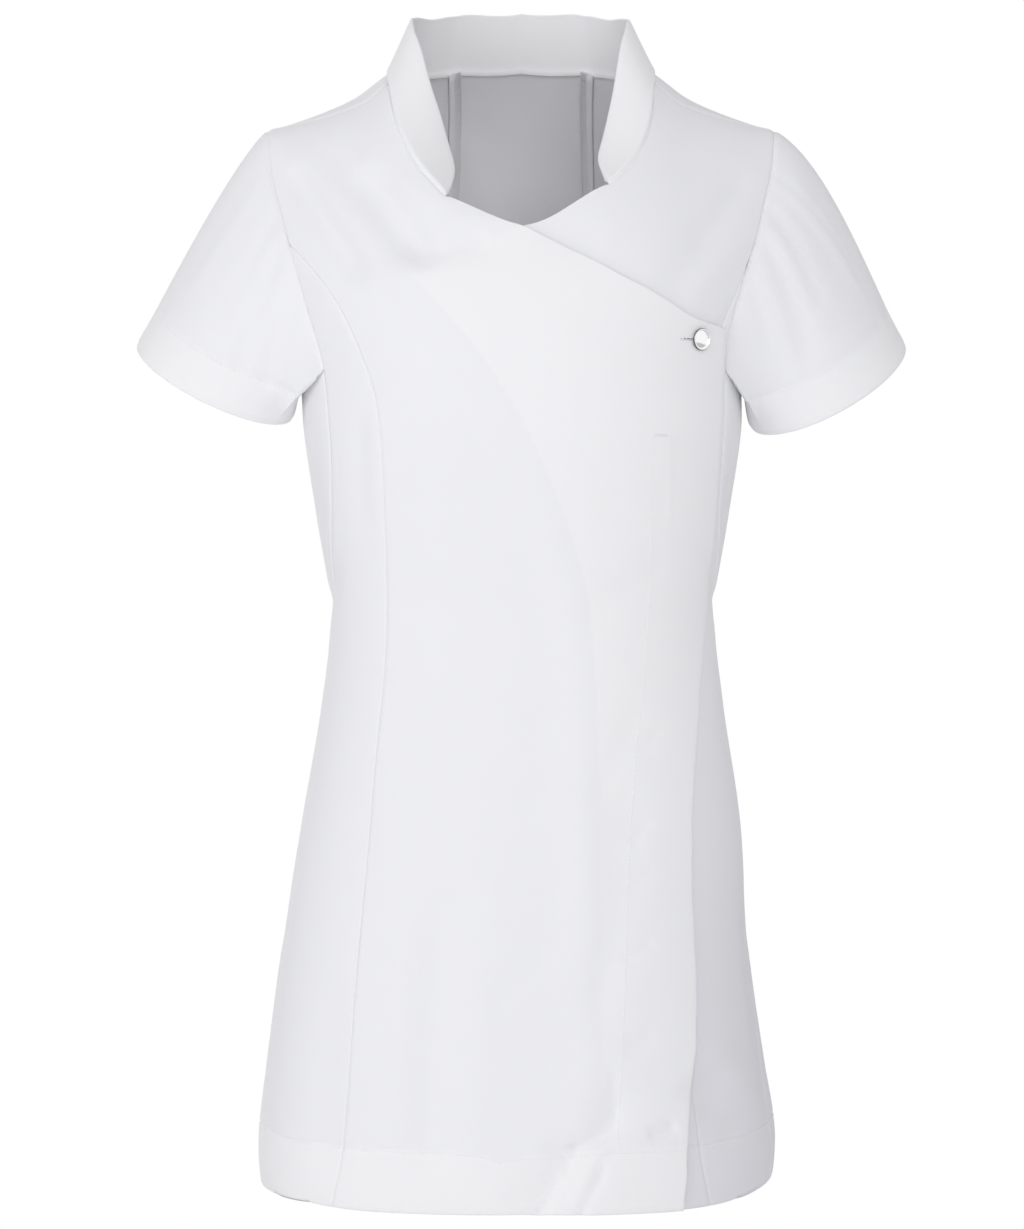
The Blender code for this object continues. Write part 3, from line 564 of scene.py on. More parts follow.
def tighten(places, left, right):
    """Extra lines of places close to the top edge, and to the sides that are seams."""
    def with_lines(grid):
        extra = [grid[0] + (grid[1] - grid[0]) * share for share in FIRST_CELL]
        return np.concatenate([grid[:1], extra, grid[1:]])

    across = with_lines(places).swapaxes(0, 1)
    if left:
        across = with_lines(across)
    if right:
        across = with_lines(across[::-1])[::-1]
    return across.swapaxes(0, 1)


def shares_from_seam(cells):
    """Even shares of a length, with the extra lines in the first cell."""
    steps = np.linspace(0, 1, cells + 1)
    return np.concatenate([np.array([0, *FIRST_CELL]) * steps[1], steps[1:]])


def runs(points, axis):
    """Length along the rows or the columns, from the first and from the last line."""
    steps = np.diff(points, axis=axis, prepend=points.take([0], axis))
    run = np.cumsum(np.linalg.norm(steps, axis=-1), axis=axis)
    return run, run.take([-1], axis) - run


def furrow(distance):
    return FURROW_DEPTH * bell(distance, FURROW_WIDTH)


def seam_relief(distance, along, seed, pucker=1.0):
    ripple = PUCKER_DEPTH * pucker * waves(along, seed) * np.exp(-distance / PUCKER_REACH)
    return ripple * (1 - bell(distance, PUCKER_START)) - furrow(distance)


# %% Folds
FRONT_FOLDS = mm(
    # out, level, to_out, to_level, width, depth (minus: a ridge)
    (-151, -56, -101, -134, 8, -1.6), (-151, -66, -110, -132, 10, 3.6),
    (-100, -68, -68, -124, 13, 5), (-108, -60, -34, -102, 10, -1.6),
    (-68, -128, -26, -116, 10, 3.4), (152, -70, 118, -118, 8, 1.5),
    (166, -98, 112, -152, 9, -1.2), (16, -104, 49, -121, 12, 1.4), (144, -153, 134, -173, 4, 1),
    (170, -63.5, 179, -66.5, 2.2, 1.1), (166.5, -75, 175, -76.5, 2, 1),
    (100, -181, 111, -180, 1.6, 0.5), (102, -187, 111, -183, 1.6, 0.4),
    (93, -245.5, 93, -270, 3, -0.4), (97.9, -246.5, 97.9, -302.4, 1.6, -0.5),
    (128, -176, 92, -190, 5, 0.7), (110, -181, 88, -200, 4, -0.6),
    (-110, -236, -108, -300, 6, 1.2), (-99, -228, -95, -305, 5, -0.8),
    (-50, -560, -60, -715, 14, 1.3), (-80, -600, -86, -720, 14, -0.9),
    (-30, -620, -36, -740, 15, -0.9), (31, -478, 51, -578, 14, -0.8),
    (78, -428, 53, -488, 9, 0.9), (66, -578, 46, -628, 10, 0.8), (21, -583, -15, -623, 10, 1.2),
    (92, -444, 80, -456, 5, 0.9), (84, -504, 74, -517, 5, 1), (86, -536, 72, -548, 5, 0.9),
    (86, -585, 70, -596, 5, 1), (87, -645, 70, -655, 6, 1), (60, -672, 62.5, -700, 4.5, 1.2),
    (62.5, -704, 35.5, -722, 5.2, 3), (35.5, -722, 10, -762, 5.6, 4.2),
    (55, -731, 38.5, -763, 3.4, 3), (85, -712, 101, -707, 3.8, 2.4),
    (109, -679, 129, -701, 9, 1.8), (129, -657, 157, -684, 9, -1.6),
    (-128, -640, -134, -735, 10, 1.4), (-104, -500, -100, -600, 10, 0.9),
    (96, -330, 40, -372, 10, 0.8), (-80, -345, -20, -385, 12, 0.9),
)
BACK_FOLDS = mm(
    (-110, -318, -40, -352, 8, 1.6), (-100, -350, -30, -392, 9, 1.5),
    (112, -330, 45, -372, 8, 1.7), (104, -372, 40, -410, 9, 1.3), (-36, -300, 38, -330, 10, 1),
    (20, -60, 10, -150, 14, 1.2), (-40, -30, -10, -110, 10, 1.4), (55, -50, 20, -120, 9, 1.2),
    (-120, -130, -90, -210, 9, 1.4), (128, -130, 92, -205, 9, 1.3),
    (-20, -560, -28, -740, 14, -1.8), (20, -600, 24, -750, 13, -1.6),
    (92, -560, 104, -730, 13, 1.6), (-96, -570, -108, -730, 12, 1.7),
    (-120, -480, -126, -600, 12, 1.1), (126, -480, 132, -590, 12, 1),
    (64, -690, 40, -745, 10, 1.2),
)
SIDE_FOLDS = mm(
    # depth from front (minus) to back, level, to_depth, to_level, width, depth
    (-50, -335, 20, -372, 9, 1.6), (60, -320, -10, -362, 9, 1.4), (-40, -230, -30, -300, 10, 1.6),
    (30, -240, 22, -310, 10, 1.5), (-20, -560, -30, -720, 13, 2), (45, -540, 52, -720, 13, 1.8),
    (10, -600, 12, -740, 12, -1.2),
)


def folds(points):
    """How far all the folds move the cloth here, along its normal."""
    out, deep, level = points[..., 0], points[..., 1], points[..., 2]
    half = smooth(BODY, level, 1)
    beside = ease((np.abs(out) / half - 0.86) / 0.10)
    front = trough(FRONT_FOLDS, out, level) * (deep < 0)
    back = trough(BACK_FOLDS, out, level) * (deep >= 0)
    side = trough(SIDE_FOLDS, deep, level)
    return -(front + back) * (1 - 0.7 * beside) - side * beside


# %% [markdown]
# ## From places to a sheet of cloth
# One helper turns a grid of points into a mesh. It also writes two things that the finishes
# need. The first is a cut map in metres, so that the weave keeps its size and runs with the
# cloth. The second is how many layers lie on each other, together with painted shade. A single
# layer of white twill is painted a little greyer than two, for the shaded inside that shows
# through it, and values below one paint a greyer shade on the panels in the wrap's lee. A
# Solidify modifier gives every sheet its real thickness.

# %% Sheets
CLOTH = 0.0007             # the thickness of one layer
TURN = 0.0018              # how far the inside of a turned-up hem lies behind the face
HEM_CELLS = 7              # rows inside a hem
FACING = 0.012             # how far a free edge is turned in
FACING_CELLS = 5
MAP_STEP = 0.002           # how the cut map goes on from line to line of a turned-in edge
tunic = bpy.data.collections.new("tunic")
bpy.context.scene.collection.children.link(tunic)
made = {}


def cells_of(rows, columns, first=0):
    """The four corners of every cell of a grid of points."""
    index = first + np.arange(rows * columns).reshape(rows, columns)
    corners = index[:-1, :-1], index[1:, :-1], index[1:, 1:], index[:-1, 1:]
    return np.stack(corners, axis=-1).reshape(-1, 4)


def grid_mesh(name, grids):
    """One mesh from grids of (points, cut map, layers), joined where their edges meet."""
    points, cuts, layers_and_shade, quads = [], [], [], []
    first = 0
    for spots, cut, layer_and_shade in grids:
        rows, columns = spots.shape[:2]
        quads.append(cells_of(rows, columns, first))
        points.append(spots.reshape(-1, 3))
        cuts.append(cut.reshape(-1, 2))
        layers_and_shade.append(np.broadcast_to(layer_and_shade, (rows, columns)).reshape(-1))
        first += rows * columns
    points, cuts, quads = np.concatenate(points), np.concatenate(cuts), np.concatenate(quads)
    mesh = bpy.data.meshes.new(name)
    mesh.from_pydata(points.tolist(), [], quads.tolist())
    mesh.uv_layers.new(name="cut").data.foreach_set("uv", cuts[quads.ravel()].ravel())
    mesh.attributes.new("layers_and_shade", "FLOAT", "POINT").data.foreach_set(
        "value", np.concatenate(layers_and_shade).astype(np.float32)
    )
    mesh.shade_smooth()
    piece = bpy.data.objects.new(name, mesh)
    tunic.objects.link(piece)
    weld = piece.modifiers.new("join", "WELD")
    weld.merge_threshold = 0.00003
    made[name] = piece
    return piece


def thicken(piece, thickness=CLOTH):
    wall = piece.modifiers.new("cloth", "SOLIDIFY")
    wall.thickness = thickness
    wall.offset = -1
    wall.use_even_offset = False
    return piece


def turned(points, normals, first, last, cells):
    """Lines that turn round the first row of a grid and go back inside its next rows."""
    edge, up, ahead = points[0], normals[0], unit(points[0] - points[1])
    turns = [
        edge - up * TURN / 2 * (1 - math.cos(t)) + ahead * TURN / 2 * math.sin(t)
        for t in (math.pi / 4, math.pi / 2, 3 * math.pi / 4)
    ]
    run = runs(points, 0)[0].mean(axis=1)
    inside = np.flatnonzero((run > first) & (run < last))
    inside = inside[np.unique(np.linspace(0, len(inside) - 1, cells).astype(int))]
    return np.array([*turns, edge - up * TURN, *(points - normals * TURN)[inside]])


def turned_up(points, normals, depth):
    """The rows that a hem adds: round its edge and up inside the last rows of a grid."""
    return turned(points[::-1], normals[::-1], 0.004, depth, HEM_CELLS)


def turned_in(points, normals, cut, layers_and_shade, step):
    """The strip that a free edge adds, inside the first row of a grid."""
    lines = np.array([points[0], *turned(points, normals, 0.002, FACING, FACING_CELLS)])
    further = np.arange(len(lines))[:, None, None] * np.array(step)
    return lines, cut[0] + further, np.broadcast_to(layers_and_shade[0], lines.shape[:2])


# %% Lengths round the body, for the cut map
ROUND_ANGLES = np.linspace(-180, 180, 721)
ROUND_OVERS = np.linspace(0, 0.90, 61)
round_grid = form(np.stack(np.meshgrid(ROUND_ANGLES, ROUND_OVERS), axis=-1))
round_run = runs(round_grid, 1)[0]
round_run -= round_run[:, 360:361]


def cut_map(places):
    """(round the body, down the body) in metres."""
    angle = (places[..., 0] + 180) % 360
    angle = np.where(places[..., 0] >= 180, 360, angle)
    down = np.clip(places[..., 1], 0, ROUND_OVERS[-1]) / ROUND_OVERS[1]
    i = np.clip(down.astype(int), 0, len(ROUND_OVERS) - 2)
    j = np.clip((angle * 2).astype(int), 0, len(ROUND_ANGLES) - 2)
    t, s = down - i, angle * 2 - j
    upper = round_run[i, j] * (1 - s) + round_run[i, j + 1] * s
    lower = round_run[i + 1, j] * (1 - s) + round_run[i + 1, j + 1] * s
    return np.stack([upper * (1 - t) + lower * t, places[..., 1]], axis=-1)


print("girth at the waist, m:", round(float(np.ptp(round_run[28])), 3))

# %% [markdown]
# ## The panels
# Each panel is its own sheet, as it is its own piece of cloth. `panel` takes the grid of places
# between its seams, moves every point by the folds and the seams' relief, turns up the hem and
# turns in the free edges, and hides the CAD solid that the sheet stands for.

# %% One panel
HEM_MARK = 0.00060         # how deep the stitches draw the cloth in at the top of a hem
HEM_LINE_CELLS = 4
HEM_LINE_REACH = 0.0055
skins = {}


def hem_mark(up_from_hem, along, to_end, seed, depth):
    """The shallow furrow that a line of hem stitches leaves, and the fuller cloth below it."""
    line = HEM_MARK * bell(up_from_hem - depth, 0.0011)
    fuller = 0.0006 * ease(1 - up_from_hem / depth) * ease(up_from_hem / 0.004)
    drawn = 0.0005 * waves(along, seed, (0.019, 0.031, 0.012))
    near = bell(up_from_hem - depth, 0.010) * ease(np.minimum(along, to_end) / 0.006)
    return fuller + drawn * near - line


def with_hem_layers(layers_and_shade, up_from_hem, depth):
    """A hem lays the cloth double, so its white is painted brighter up to its stitches, because no
    shaded inside shows through it. Where painted shade greys a panel, its hem stays nearly as grey.
    """
    return layers_and_shade * (1 + layers_and_shade ** 3 * ease((depth + 0.0006 - up_from_hem) / 0.0012))


def with_hem_lines(places, depth):
    """Extra rows where the hem's stitches run, so that their furrow is sharp."""
    from_hem = runs(form(places), 0)[1].mean(axis=1)
    rows = [places[:1]]
    for above, below, height in zip(places, places[1:], from_hem[1:]):
        cells = HEM_LINE_CELLS if abs(height - depth) < HEM_LINE_REACH else 1
        share = np.linspace(0, 1, cells + 1)[1:, None, None]
        rows.append(above + (below - above) * share)
    return np.concatenate(rows)


def one_layer(out, level):
    return np.ones(level.shape)


def panel(name, node, places, sewn, seed, lift=None, layers_and_shade=one_layer, free_top=None):
    """sewn: whether the left and the right are seams, and which columns of the top are. A side
    that isn't sewn is a free edge, and so are the columns of free_top."""
    left, right, top = sewn
    places = with_hem_lines(tighten(places, left, right), HEM_DEPTH)
    points, normals, cut = form(places), form_normals(places), cut_map(places)
    from_left, from_right = runs(points, 1)
    from_top, from_hem = runs(points, 0)
    sewn_top = np.zeros(points.shape[1])
    sewn_top[top] = 1
    move = folds(points)
    for n, (away, along, share) in enumerate((
        (from_left, from_hem, left), (from_right, from_hem, right), (from_top, from_left, sewn_top)
    )):
        move = move + seam_relief(away, along, seed + n) * share
    move = move + hem_mark(from_hem, from_left, from_right, seed + 3, HEM_DEPTH)
    if lift is not None:
        move = move + lift(points[..., 0], points[..., 2])
    # depth carries the layers and the painted shade, which the finish turns into colour.
    depth = with_hem_layers(layers_and_shade(points[..., 0], points[..., 2]), from_hem, HEM_DEPTH)
    points = points + normals * move[..., None]
    inside = turned_up(points, normals, HEM_DEPTH)
    steps = np.linspace(0, HEM_DEPTH, len(inside) + 1)[1:, None, None] * np.array([0, 1])
    grids = [(
        np.concatenate([points, inside]),
        np.concatenate([cut, cut[-1:] + steps]),
        np.concatenate([depth, np.broadcast_to(depth[-1:], inside.shape[:2])]),
    )]
    whole = points, normals, cut, depth
    for free, way in ((not right, -1), (not left, 1)):
        if free:
            strip = turned_in(*(grid.swapaxes(0, 1)[::way] for grid in whole), (MAP_STEP, 0))
            grids.append([grid.swapaxes(0, 1)[:, ::-way] for grid in strip])
    if free_top:
        strip = turned_in(*(grid[:, free_top] for grid in whole), (0, -MAP_STEP))
        grids.append([grid[::-1] for grid in strip])
    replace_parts(thicken(grid_mesh(name, grids)), node)
    skins[name] = points, normals, HEM_DEPTH
    print(name, "rows and columns:", points.shape[:2])


# %% [markdown]
# The wrap closes over the wearer's left side. Where two layers lie on each other the over-layer
# stands off a little, and the edge of the layer behind shows through the cloth as a soft step.
# Beyond that edge the white is painted brighter, because nothing dark shows through two layers;
# the greyer white of one layer is painted shade from the shaded inside showing through it. The
# panels beyond the wrap's free edge, turned away from the light, get a painted grey shade.

# %% The wrap
# Painted shade: from the lower chest down, the panels beyond the wrap's free edge hang in its lee,
# turned from the light, and get a greyer white.
PAINTED_LEE_SHADE = 0.75           # how much of a layer's white the cloth beyond the wrap loses
LEE_START = -0.34
LEE_REACH = 0.34


def above_under_edge(out, level):
    (out_a, level_a), (out_b, level_b) = UNDER_EDGE[-1], UNDER_EDGE[0]
    slant = (level_b - level_a) / (out_b - out_a)
    return level - (level_a + slant * (out - out_a))


def wrap_lift(out, level):
    beside = np.maximum(smooth(HIDDEN_EDGE, level) - out, 0.0)
    above = np.maximum(above_under_edge(out, level), 0.0)
    near = ease(1.2 - np.hypot(beside, above) / 0.030)
    at_hem = ease((HEM_LEVEL + HEM_DEPTH + 0.020 - level) / 0.020)
    return near * (LAYER_LIFT + 0.0013 * at_hem)


def layer_behind(out, level):
    """1 for one layer, 2 where the under-layer lies behind the over-layer. The 2 gives a painted
    brighter white, because the shaded inside no longer shows through, and that step is weaker from
    the hips down.
    """
    inside = (out - smooth(HIDDEN_EDGE, level)) / 0.0016
    below = -above_under_edge(out, level) / 0.0070
    shows = 0.4 + 0.6 * ease((level + 0.56) / 0.16)
    return 1 + shows * ease(inside + 0.5) * ease(below + 0.5)


def painted_lee_shade(level):
    return PAINTED_LEE_SHADE * ease((LEE_START - level) / LEE_REACH)


def painted_shade_beside_wrap(out, level):
    """Painted shade: less than one layer's white on the panels beyond the wrap, which hang in its
    lee.
    """
    return 1 - painted_lee_shade(level) * ease((out - 0.02) / 0.05)


def over_layer():
    seam = princess(PRINCESS_RIGHT, -1)
    left = np.concatenate([armhole_front_upper(-1), seam[1:]])
    wrap = curve([at_out(out, level) for out, level in WRAP_EDGE], WRAP_CELLS, EVEN)
    top = np.concatenate([
        mirrored(shoulder_seam())[::-1], neck_front(NECK_RIGHT)[1:], wrap[1:]
    ])
    return evened(patch(left, free_edge(FRONT_EDGE, WRAP_EDGE[-1][1], 0.0011), top))


def under_layer():
    seam = princess(PRINCESS_LEFT, 1)
    right = np.concatenate([armhole_front_upper(1), seam[1:]])
    edge = curve([at_out(out, level) for out, level in UNDER_EDGE], UNDER_CELLS, EVEN)
    top = np.concatenate([edge[::-1], neck_front(NECK_LEFT)[::-1][1:], shoulder_seam()[1:]])
    return evened(patch(free_edge(HIDDEN_EDGE, UNDER_EDGE[-1][1]), right, top))


EXTRA = len(FIRST_CELL)    # tighten adds this many lines at an edge
panel(
    "over_layer", "front_right_centre", over_layer(),
    sewn=(True, False, slice(0, EXTRA + SHOULDER_CELLS + NECK_CELLS + 1)), seed=11,
    lift=wrap_lift, layers_and_shade=layer_behind,
    free_top=slice(EXTRA + SHOULDER_CELLS + NECK_CELLS, None),
)
panel(
    "under_layer", "front_left_centre", under_layer(),
    sewn=(False, True, slice(UNDER_CELLS, None)), seed=21, layers_and_shade=painted_shade_beside_wrap,
    free_top=slice(0, UNDER_CELLS + 1),
)

# %% [markdown]
# Beside the centre fronts stand two side panels, pointed at the armhole where the princess seam
# starts. Behind, two side back panels and the centre back take in the waist.

# %% Side and back panels
def side_front(table, side):
    seam = princess(table, side)
    outer = np.concatenate([armhole_front_lower(side), side_seam(side)[1:]])
    left, right = (seam, outer) if side > 0 else (outer, seam)
    across = np.linspace(0, 1, SIDE_CELLS + 1)
    places = left[:, None] + (right - left)[:, None] * across[:, None]
    places[-1] = hem(left[-1], right[-1], across)
    return places


def side_back(side):
    nape = neck_back()[0]
    seam = back_seam(nape[-1])
    top = np.concatenate([behind(shoulder_seam())[::-1], nape[1:]])
    if side < 0:
        seam, top = mirrored_to_hem(seam), mirrored(top)
    outer = np.concatenate([armhole_back(side), side_seam(side)[1:]])
    places = patch(outer, seam, top)
    return places if side > 0 else places[:, ::-1]


def back_centre():
    nape, middle = neck_back()
    seam = back_seam(nape[-1])
    middle[0] = seam[0]
    round_it = np.array([360, 0]) + np.array([-1, 1]) * middle[::-1][1:]
    other = mirrored_to_hem(seam) + np.array([360, 0])
    return patch(seam, other, np.concatenate([middle, round_it]))


def painted_shade_round_side(out, level):
    """The same painted shade, carried a little way round the side seam."""
    reach = ease((out / smooth(BODY, level, 1) - 0.90) / 0.08)
    return 1 - painted_lee_shade(level) * reach


BOTH = (True, True, slice(None))
POINTED = (True, True, slice(0))
panel("side_front_right", "front_right_side", side_front(PRINCESS_RIGHT, -1), POINTED, 31)
panel("side_front_left", "front_left_side", side_front(PRINCESS_LEFT, 1), POINTED, 41,
      layers_and_shade=painted_shade_beside_wrap)
panel("side_back_right", "back_right_side", side_back(-1), BOTH, 51)
panel("side_back_left", "back_left_side", side_back(1), BOTH, 61, layers_and_shade=painted_shade_round_side)
panel("centre_back", "back_centre", back_centre(), BOTH, 71)

# %% [markdown]
# ## The sleeves
# A set-in sleeve is one piece of cloth, closed to a tube under the arm. Its top edge is longer
# than the armhole and is eased in, which makes the cloth stand up just outside the seam. Every
# line of the tube starts at the armhole, leaves it along the cap, and falls to the turned-up hem.

# %% Sleeve shape
SEAM_GAP = 0.0003
SLEEVE_ROWS = 64
SLEEVE_CAP = 0.0012        # how far the eased cap stands up beside its seam
SLEEVE_BELLY = 0.55
SLEEVES = {
    # the end's middle, half its width, half its depth, then how the cloth leaves the armhole
    # on top, how it falls, and how strongly it keeps to both
    -1: ((0.2115, 0.002, -0.2040), (0.0535, 0, 0.0250), (0, -0.0520, -0.0180),
         (0.86, 0, -0.51), (0.50, 0, -0.87), 0.45),
    1: ((0.2120, 0.002, -0.2070), (0.0535, 0, 0.0270), (0, -0.0520, -0.0220),
        (0.93, 0, -0.37), (0.50, 0, -0.86), 0.70),
}
SLEEVE_FOLDS = {
    # hundreds of degrees round the arm (0 on top, 0.9 in front), share of the length, to_turn,
    # to_share, width, depth
    -1: (
        (0.48, 0.05, 0.66, 0.46, 0.07, 0.0016), (0.78, 0.16, 0.96, 0.66, 0.09, 0.0030),
        (0.20, 0.12, 0.30, 0.55, 0.08, -0.0012), (1.12, 0.10, 1.20, 0.70, 0.10, 0.0016),
        (1.50, 0.20, 1.40, 0.85, 0.12, 0.0014), (-0.50, 0.10, -0.64, 0.60, 0.09, 0.0015),
        (-0.95, 0.12, -1.10, 0.75, 0.10, 0.0016), (-1.40, 0.20, -1.28, 0.80, 0.12, 0.0014),
    ),
    1: (
        (0.44, 0.06, 0.62, 0.50, 0.07, 0.0016), (0.72, 0.10, 0.90, 0.66, 0.09, 0.0024),
        (0.18, 0.15, 0.26, 0.60, 0.08, -0.0011), (1.08, 0.10, 1.18, 0.72, 0.10, 0.0015),
        (1.52, 0.20, 1.44, 0.85, 0.12, 0.0014), (-0.46, 0.10, -0.60, 0.62, 0.09, 0.0015),
        (-0.92, 0.12, -1.06, 0.72, 0.10, 0.0015), (-1.38, 0.20, -1.30, 0.80, 0.12, 0.0013),
    ),
}


# %% One sleeve
def armhole_loop(side):
    front = np.concatenate([armhole_front_upper(side), armhole_front_lower(side)[1:]])
    return np.concatenate([front, armhole_back(side)[::-1][1:-1]])


def lerp(a, b, t):
    return a + (b - a) * t


def sleeve(name, node, side, seed):
    *shape, strength = SLEEVES[side]
    end_middle, across, deep, leaves, falls = np.array(shape)
    mirror = np.array([side, 1, 1])
    loop = armhole_loop(side)
    on_form, ups = form(loop), form_normals(loop)
    starts = (on_form + ups * (folds(on_form) - FURROW_DEPTH)[:, None]) * mirror
    middle = starts.mean(axis=0)
    turn = np.arctan2(middle[1] - starts[:, 1], starts[:, 2] - middle[2])
    on_top = ((1 + np.cos(turn)) / 2)[:, None]
    ends = end_middle + across * np.cos(turn)[:, None] + deep * np.sin(turn)[:, None]
    leave = lerp(falls, leaves, on_top)
    leave[:, 1] -= np.sin(turn) * SLEEVE_BELLY
    pull = np.linalg.norm(ends - starts, axis=1, keepdims=True) * strength
    share = shares_from_seam(SLEEVE_ROWS)
    t = share[:, None, None]
    points = mirror * hermite(t, starts, unit(leave) * pull, ends, falls * pull)
    before, after = np.roll(points, 1, axis=1), np.roll(points, -1, axis=1)
    normals = unit(np.cross(np.gradient(points, axis=0), after - before)) * -side
    as_panel = np.exp(-np.arange(len(share)) / 2.5)[:, None, None]
    normals = unit(lerp(normals, unit(lerp(normals[0], ups, on_top)), as_panel))
    closed, normals = (np.concatenate([g, g[:, :1]], axis=1) for g in (points, normals))
    from_seam, from_hem = runs(closed, 0)
    along, _ = runs(closed, 1)
    turn, on_top = np.append(turn, turn[0]), np.append(on_top, on_top[0])
    degrees, level = np.broadcast_arrays(np.degrees(turn)[None, :], share[:, None])
    cap = SLEEVE_CAP * ease(from_seam / 0.003) * np.exp(-from_seam / 0.012)
    move = cap * on_top + seam_relief(from_seam, along, seed, 0.35 + 0.9 * on_top)
    move = move + furrow(from_seam)
    for whole in (-3.6, 0, 3.6):
        move = move - trough(SLEEVE_FOLDS[side], degrees / 100 + whole, level)
    move = move + hem_mark(from_hem, along, along[:, ::-1], seed + 1, SLEEVE_HEM_DEPTH)
    depth = with_hem_layers(1.0, from_hem, SLEEVE_HEM_DEPTH)
    closed = closed + normals * move[..., None]
    inside = turned_up(closed, normals, SLEEVE_HEM_DEPTH)
    whole = np.concatenate([closed, inside])
    cut = np.stack([runs(whole, 1)[0], runs(whole, 0)[0]], axis=-1)
    depth = np.concatenate([depth, np.broadcast_to(depth[-1:], inside.shape[:2])])
    grid = [g[:, ::-side] for g in (whole, cut, depth)]
    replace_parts(thicken(grid_mesh(name, [grid])), node)
    skins[name] = closed, normals, SLEEVE_HEM_DEPTH
    print(name, "hem round the arm, m:", round(float(along[-1, -1]), 3),
          "length on top, m:", round(float(from_seam[-1, 0]), 3))


sleeve("right_sleeve", "sleeve_right", -1, 81)
sleeve("left_sleeve", "sleeve_left", 1, 91)

# %% [markdown]
# ## The collar
# The stand collar is two layers sewn together along the top, turned through and pressed. It
# stands on the neck seam, leans in to the neck at the front, and tapers to a point at each end.
# It is one closed mesh: up the outer face, round the pressed edge, and down the inner face.

# %% Collar
COLLAR = (
    # along from the centre back to the front end, height, lean inwards in degrees
    (0, 0.0392, 15), (0.2, 0.041, 17), (0.36, 0.0412, 21), (0.47, 0.0398, 24), (0.56, 0.0402, 29),
    (0.66, 0.0418, 37), (0.8, 0.0395, 52), (0.9, 0.0345, 62), (0.96, 0.026, 66), (1, 0.006, 68),
)
COLLAR_CELLS = 260
COLLAR_ROWS = 18
COLLAR_ROLL = 0.0022       # how soon the collar reaches its full thickness above its seam
UP = np.array([0.0, 0.0, 1.0])


def neckline():
    nape, middle = neck_back()
    back = np.concatenate([nape[1:], middle[1:]])
    return np.concatenate([
        neck_front(NECK_RIGHT)[::-1], mirrored(back)[:-1], back[::-1], neck_front(NECK_LEFT)
    ])


def neck_seam(cells):
    """Points along the neck seam, evenly apart, the body's normals there, and the length."""
    line = neckline()
    both = curve(np.hstack([form(line), form_normals(line)]), cells, (1, 1, 1, 0, 0, 0))
    seam, body_up = both[:, :3], unit(both[:, 3:])
    return seam, body_up, run_along(seam)


def collar():
    seam, body_up, run = neck_seam(COLLAR_CELLS)
    along = np.abs(2 * run / run[-1] - 1)
    height, lean = smooth(COLLAR, along, 1), np.radians(smooth(COLLAR, along, 2))
    inwards = unit(-seam * np.array([1, 1, 0]))
    rise = inwards * np.sin(lean)[:, None] + UP * np.cos(lean)[:, None]
    ahead = unit(np.gradient(seam, axis=0))
    away = unit(np.cross(rise, ahead))
    below = unit(np.cross(body_up, ahead))
    below *= np.sign((below * -rise).sum(axis=1, keepdims=True))
    on_panel = body_up * (folds(seam) - FURROW_DEPTH)[:, None]
    thick = COLLAR_WALL * ease((1.003 - along) / 0.02 + 0.25)
    steps = shares_from_seam(COLLAR_ROWS)
    top = height - thick / 2

    def soft(share):
        return 0.0003 * waves(run + share * 0.02, 103, (0.034, 0.051, 0.083)) * share

    face = []
    for share in steps:
        reach = top * share
        rolled = ease(reach / COLLAR_ROLL)[:, None]
        ripple = seam_relief(reach, run, 101, 0.8) + furrow(reach)
        pressed = -0.0003 * ease((reach - height + 0.004) / 0.003)
        bulge = (thick + 0.0003 * bell(reach, 0.004))[:, None] * rolled
        bulge = bulge + (ripple + soft(share) + pressed)[:, None]
        face.append(seam + on_panel * (1 - rolled) + rise * reach[:, None] + away * bulge)
    for turn in np.radians((36, 72, 108, 144)):
        spot = seam + rise * (top + thick / 2 * math.sin(turn))[:, None]
        out = thick / 2 * (1 + math.cos(turn)) + soft(1) - 0.0003
        face.append(spot + away * out[:, None])
    for share in steps[::-1]:
        reach = top * share
        ridge = -0.0008 * bell(reach, 0.0016)
        face.append(seam + rise * reach[:, None] + away * (soft(share) * 0.5 + ridge)[:, None])
    for down, inside in ((0.0009, 0.0022), (0.0019, 0.0022), (0.0026, 0.0016)):
        face.append(seam + below * down - body_up * inside)
    face = np.array(face)
    ends = [face[:, [end]].mean(axis=0, keepdims=True).repeat(len(face), axis=0) for end in (0, -1)]
    whole = np.concatenate([ends[0], face, ends[1]], axis=1)
    whole = np.concatenate([whole, whole[:1]])
    lengths = runs(whole, 0)[0]
    wide = np.concatenate([run[:1], run, run[-1:]])
    cut = np.stack([np.broadcast_to(wide, lengths.shape), lengths], axis=-1)
    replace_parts(grid_mesh("stand_collar", [(whole, cut, 2.0)]), "collar")
    print("neck seam, m:", round(float(run[-1]), 3))


collar()

# %% [markdown]
# ## The button
# One turned metal button closes the wrap: a low dome inside a rounded rim, on a shank that goes
# through the buttonhole. A lathe makes such a thing from one profile, and so do we: the profile
# is spun round the button's axis, which stands on the cloth.

# %% Button
BUTTON_PLACE = (0.1182, -0.1800)
BUTTON_RADIUS = 0.0075
BUTTON_RIM = 0.0016
BUTTON_DOME = 0.0008
BUTTON_CORE = 0.00001      # the profile stops this close to the axis
SHANK_RADIUS = 0.0015
BUTTON_SPOKES = 72


def stand_on(out, level):
    """A spot on the form, and the axes across, up the garment, and away from it."""
    here = at_out(out, level)
    away = form_normals(here)
    across = unit(np.array([1.0, 0, 0]) - away * away[0])
    return form(here), across, np.cross(away, across), away


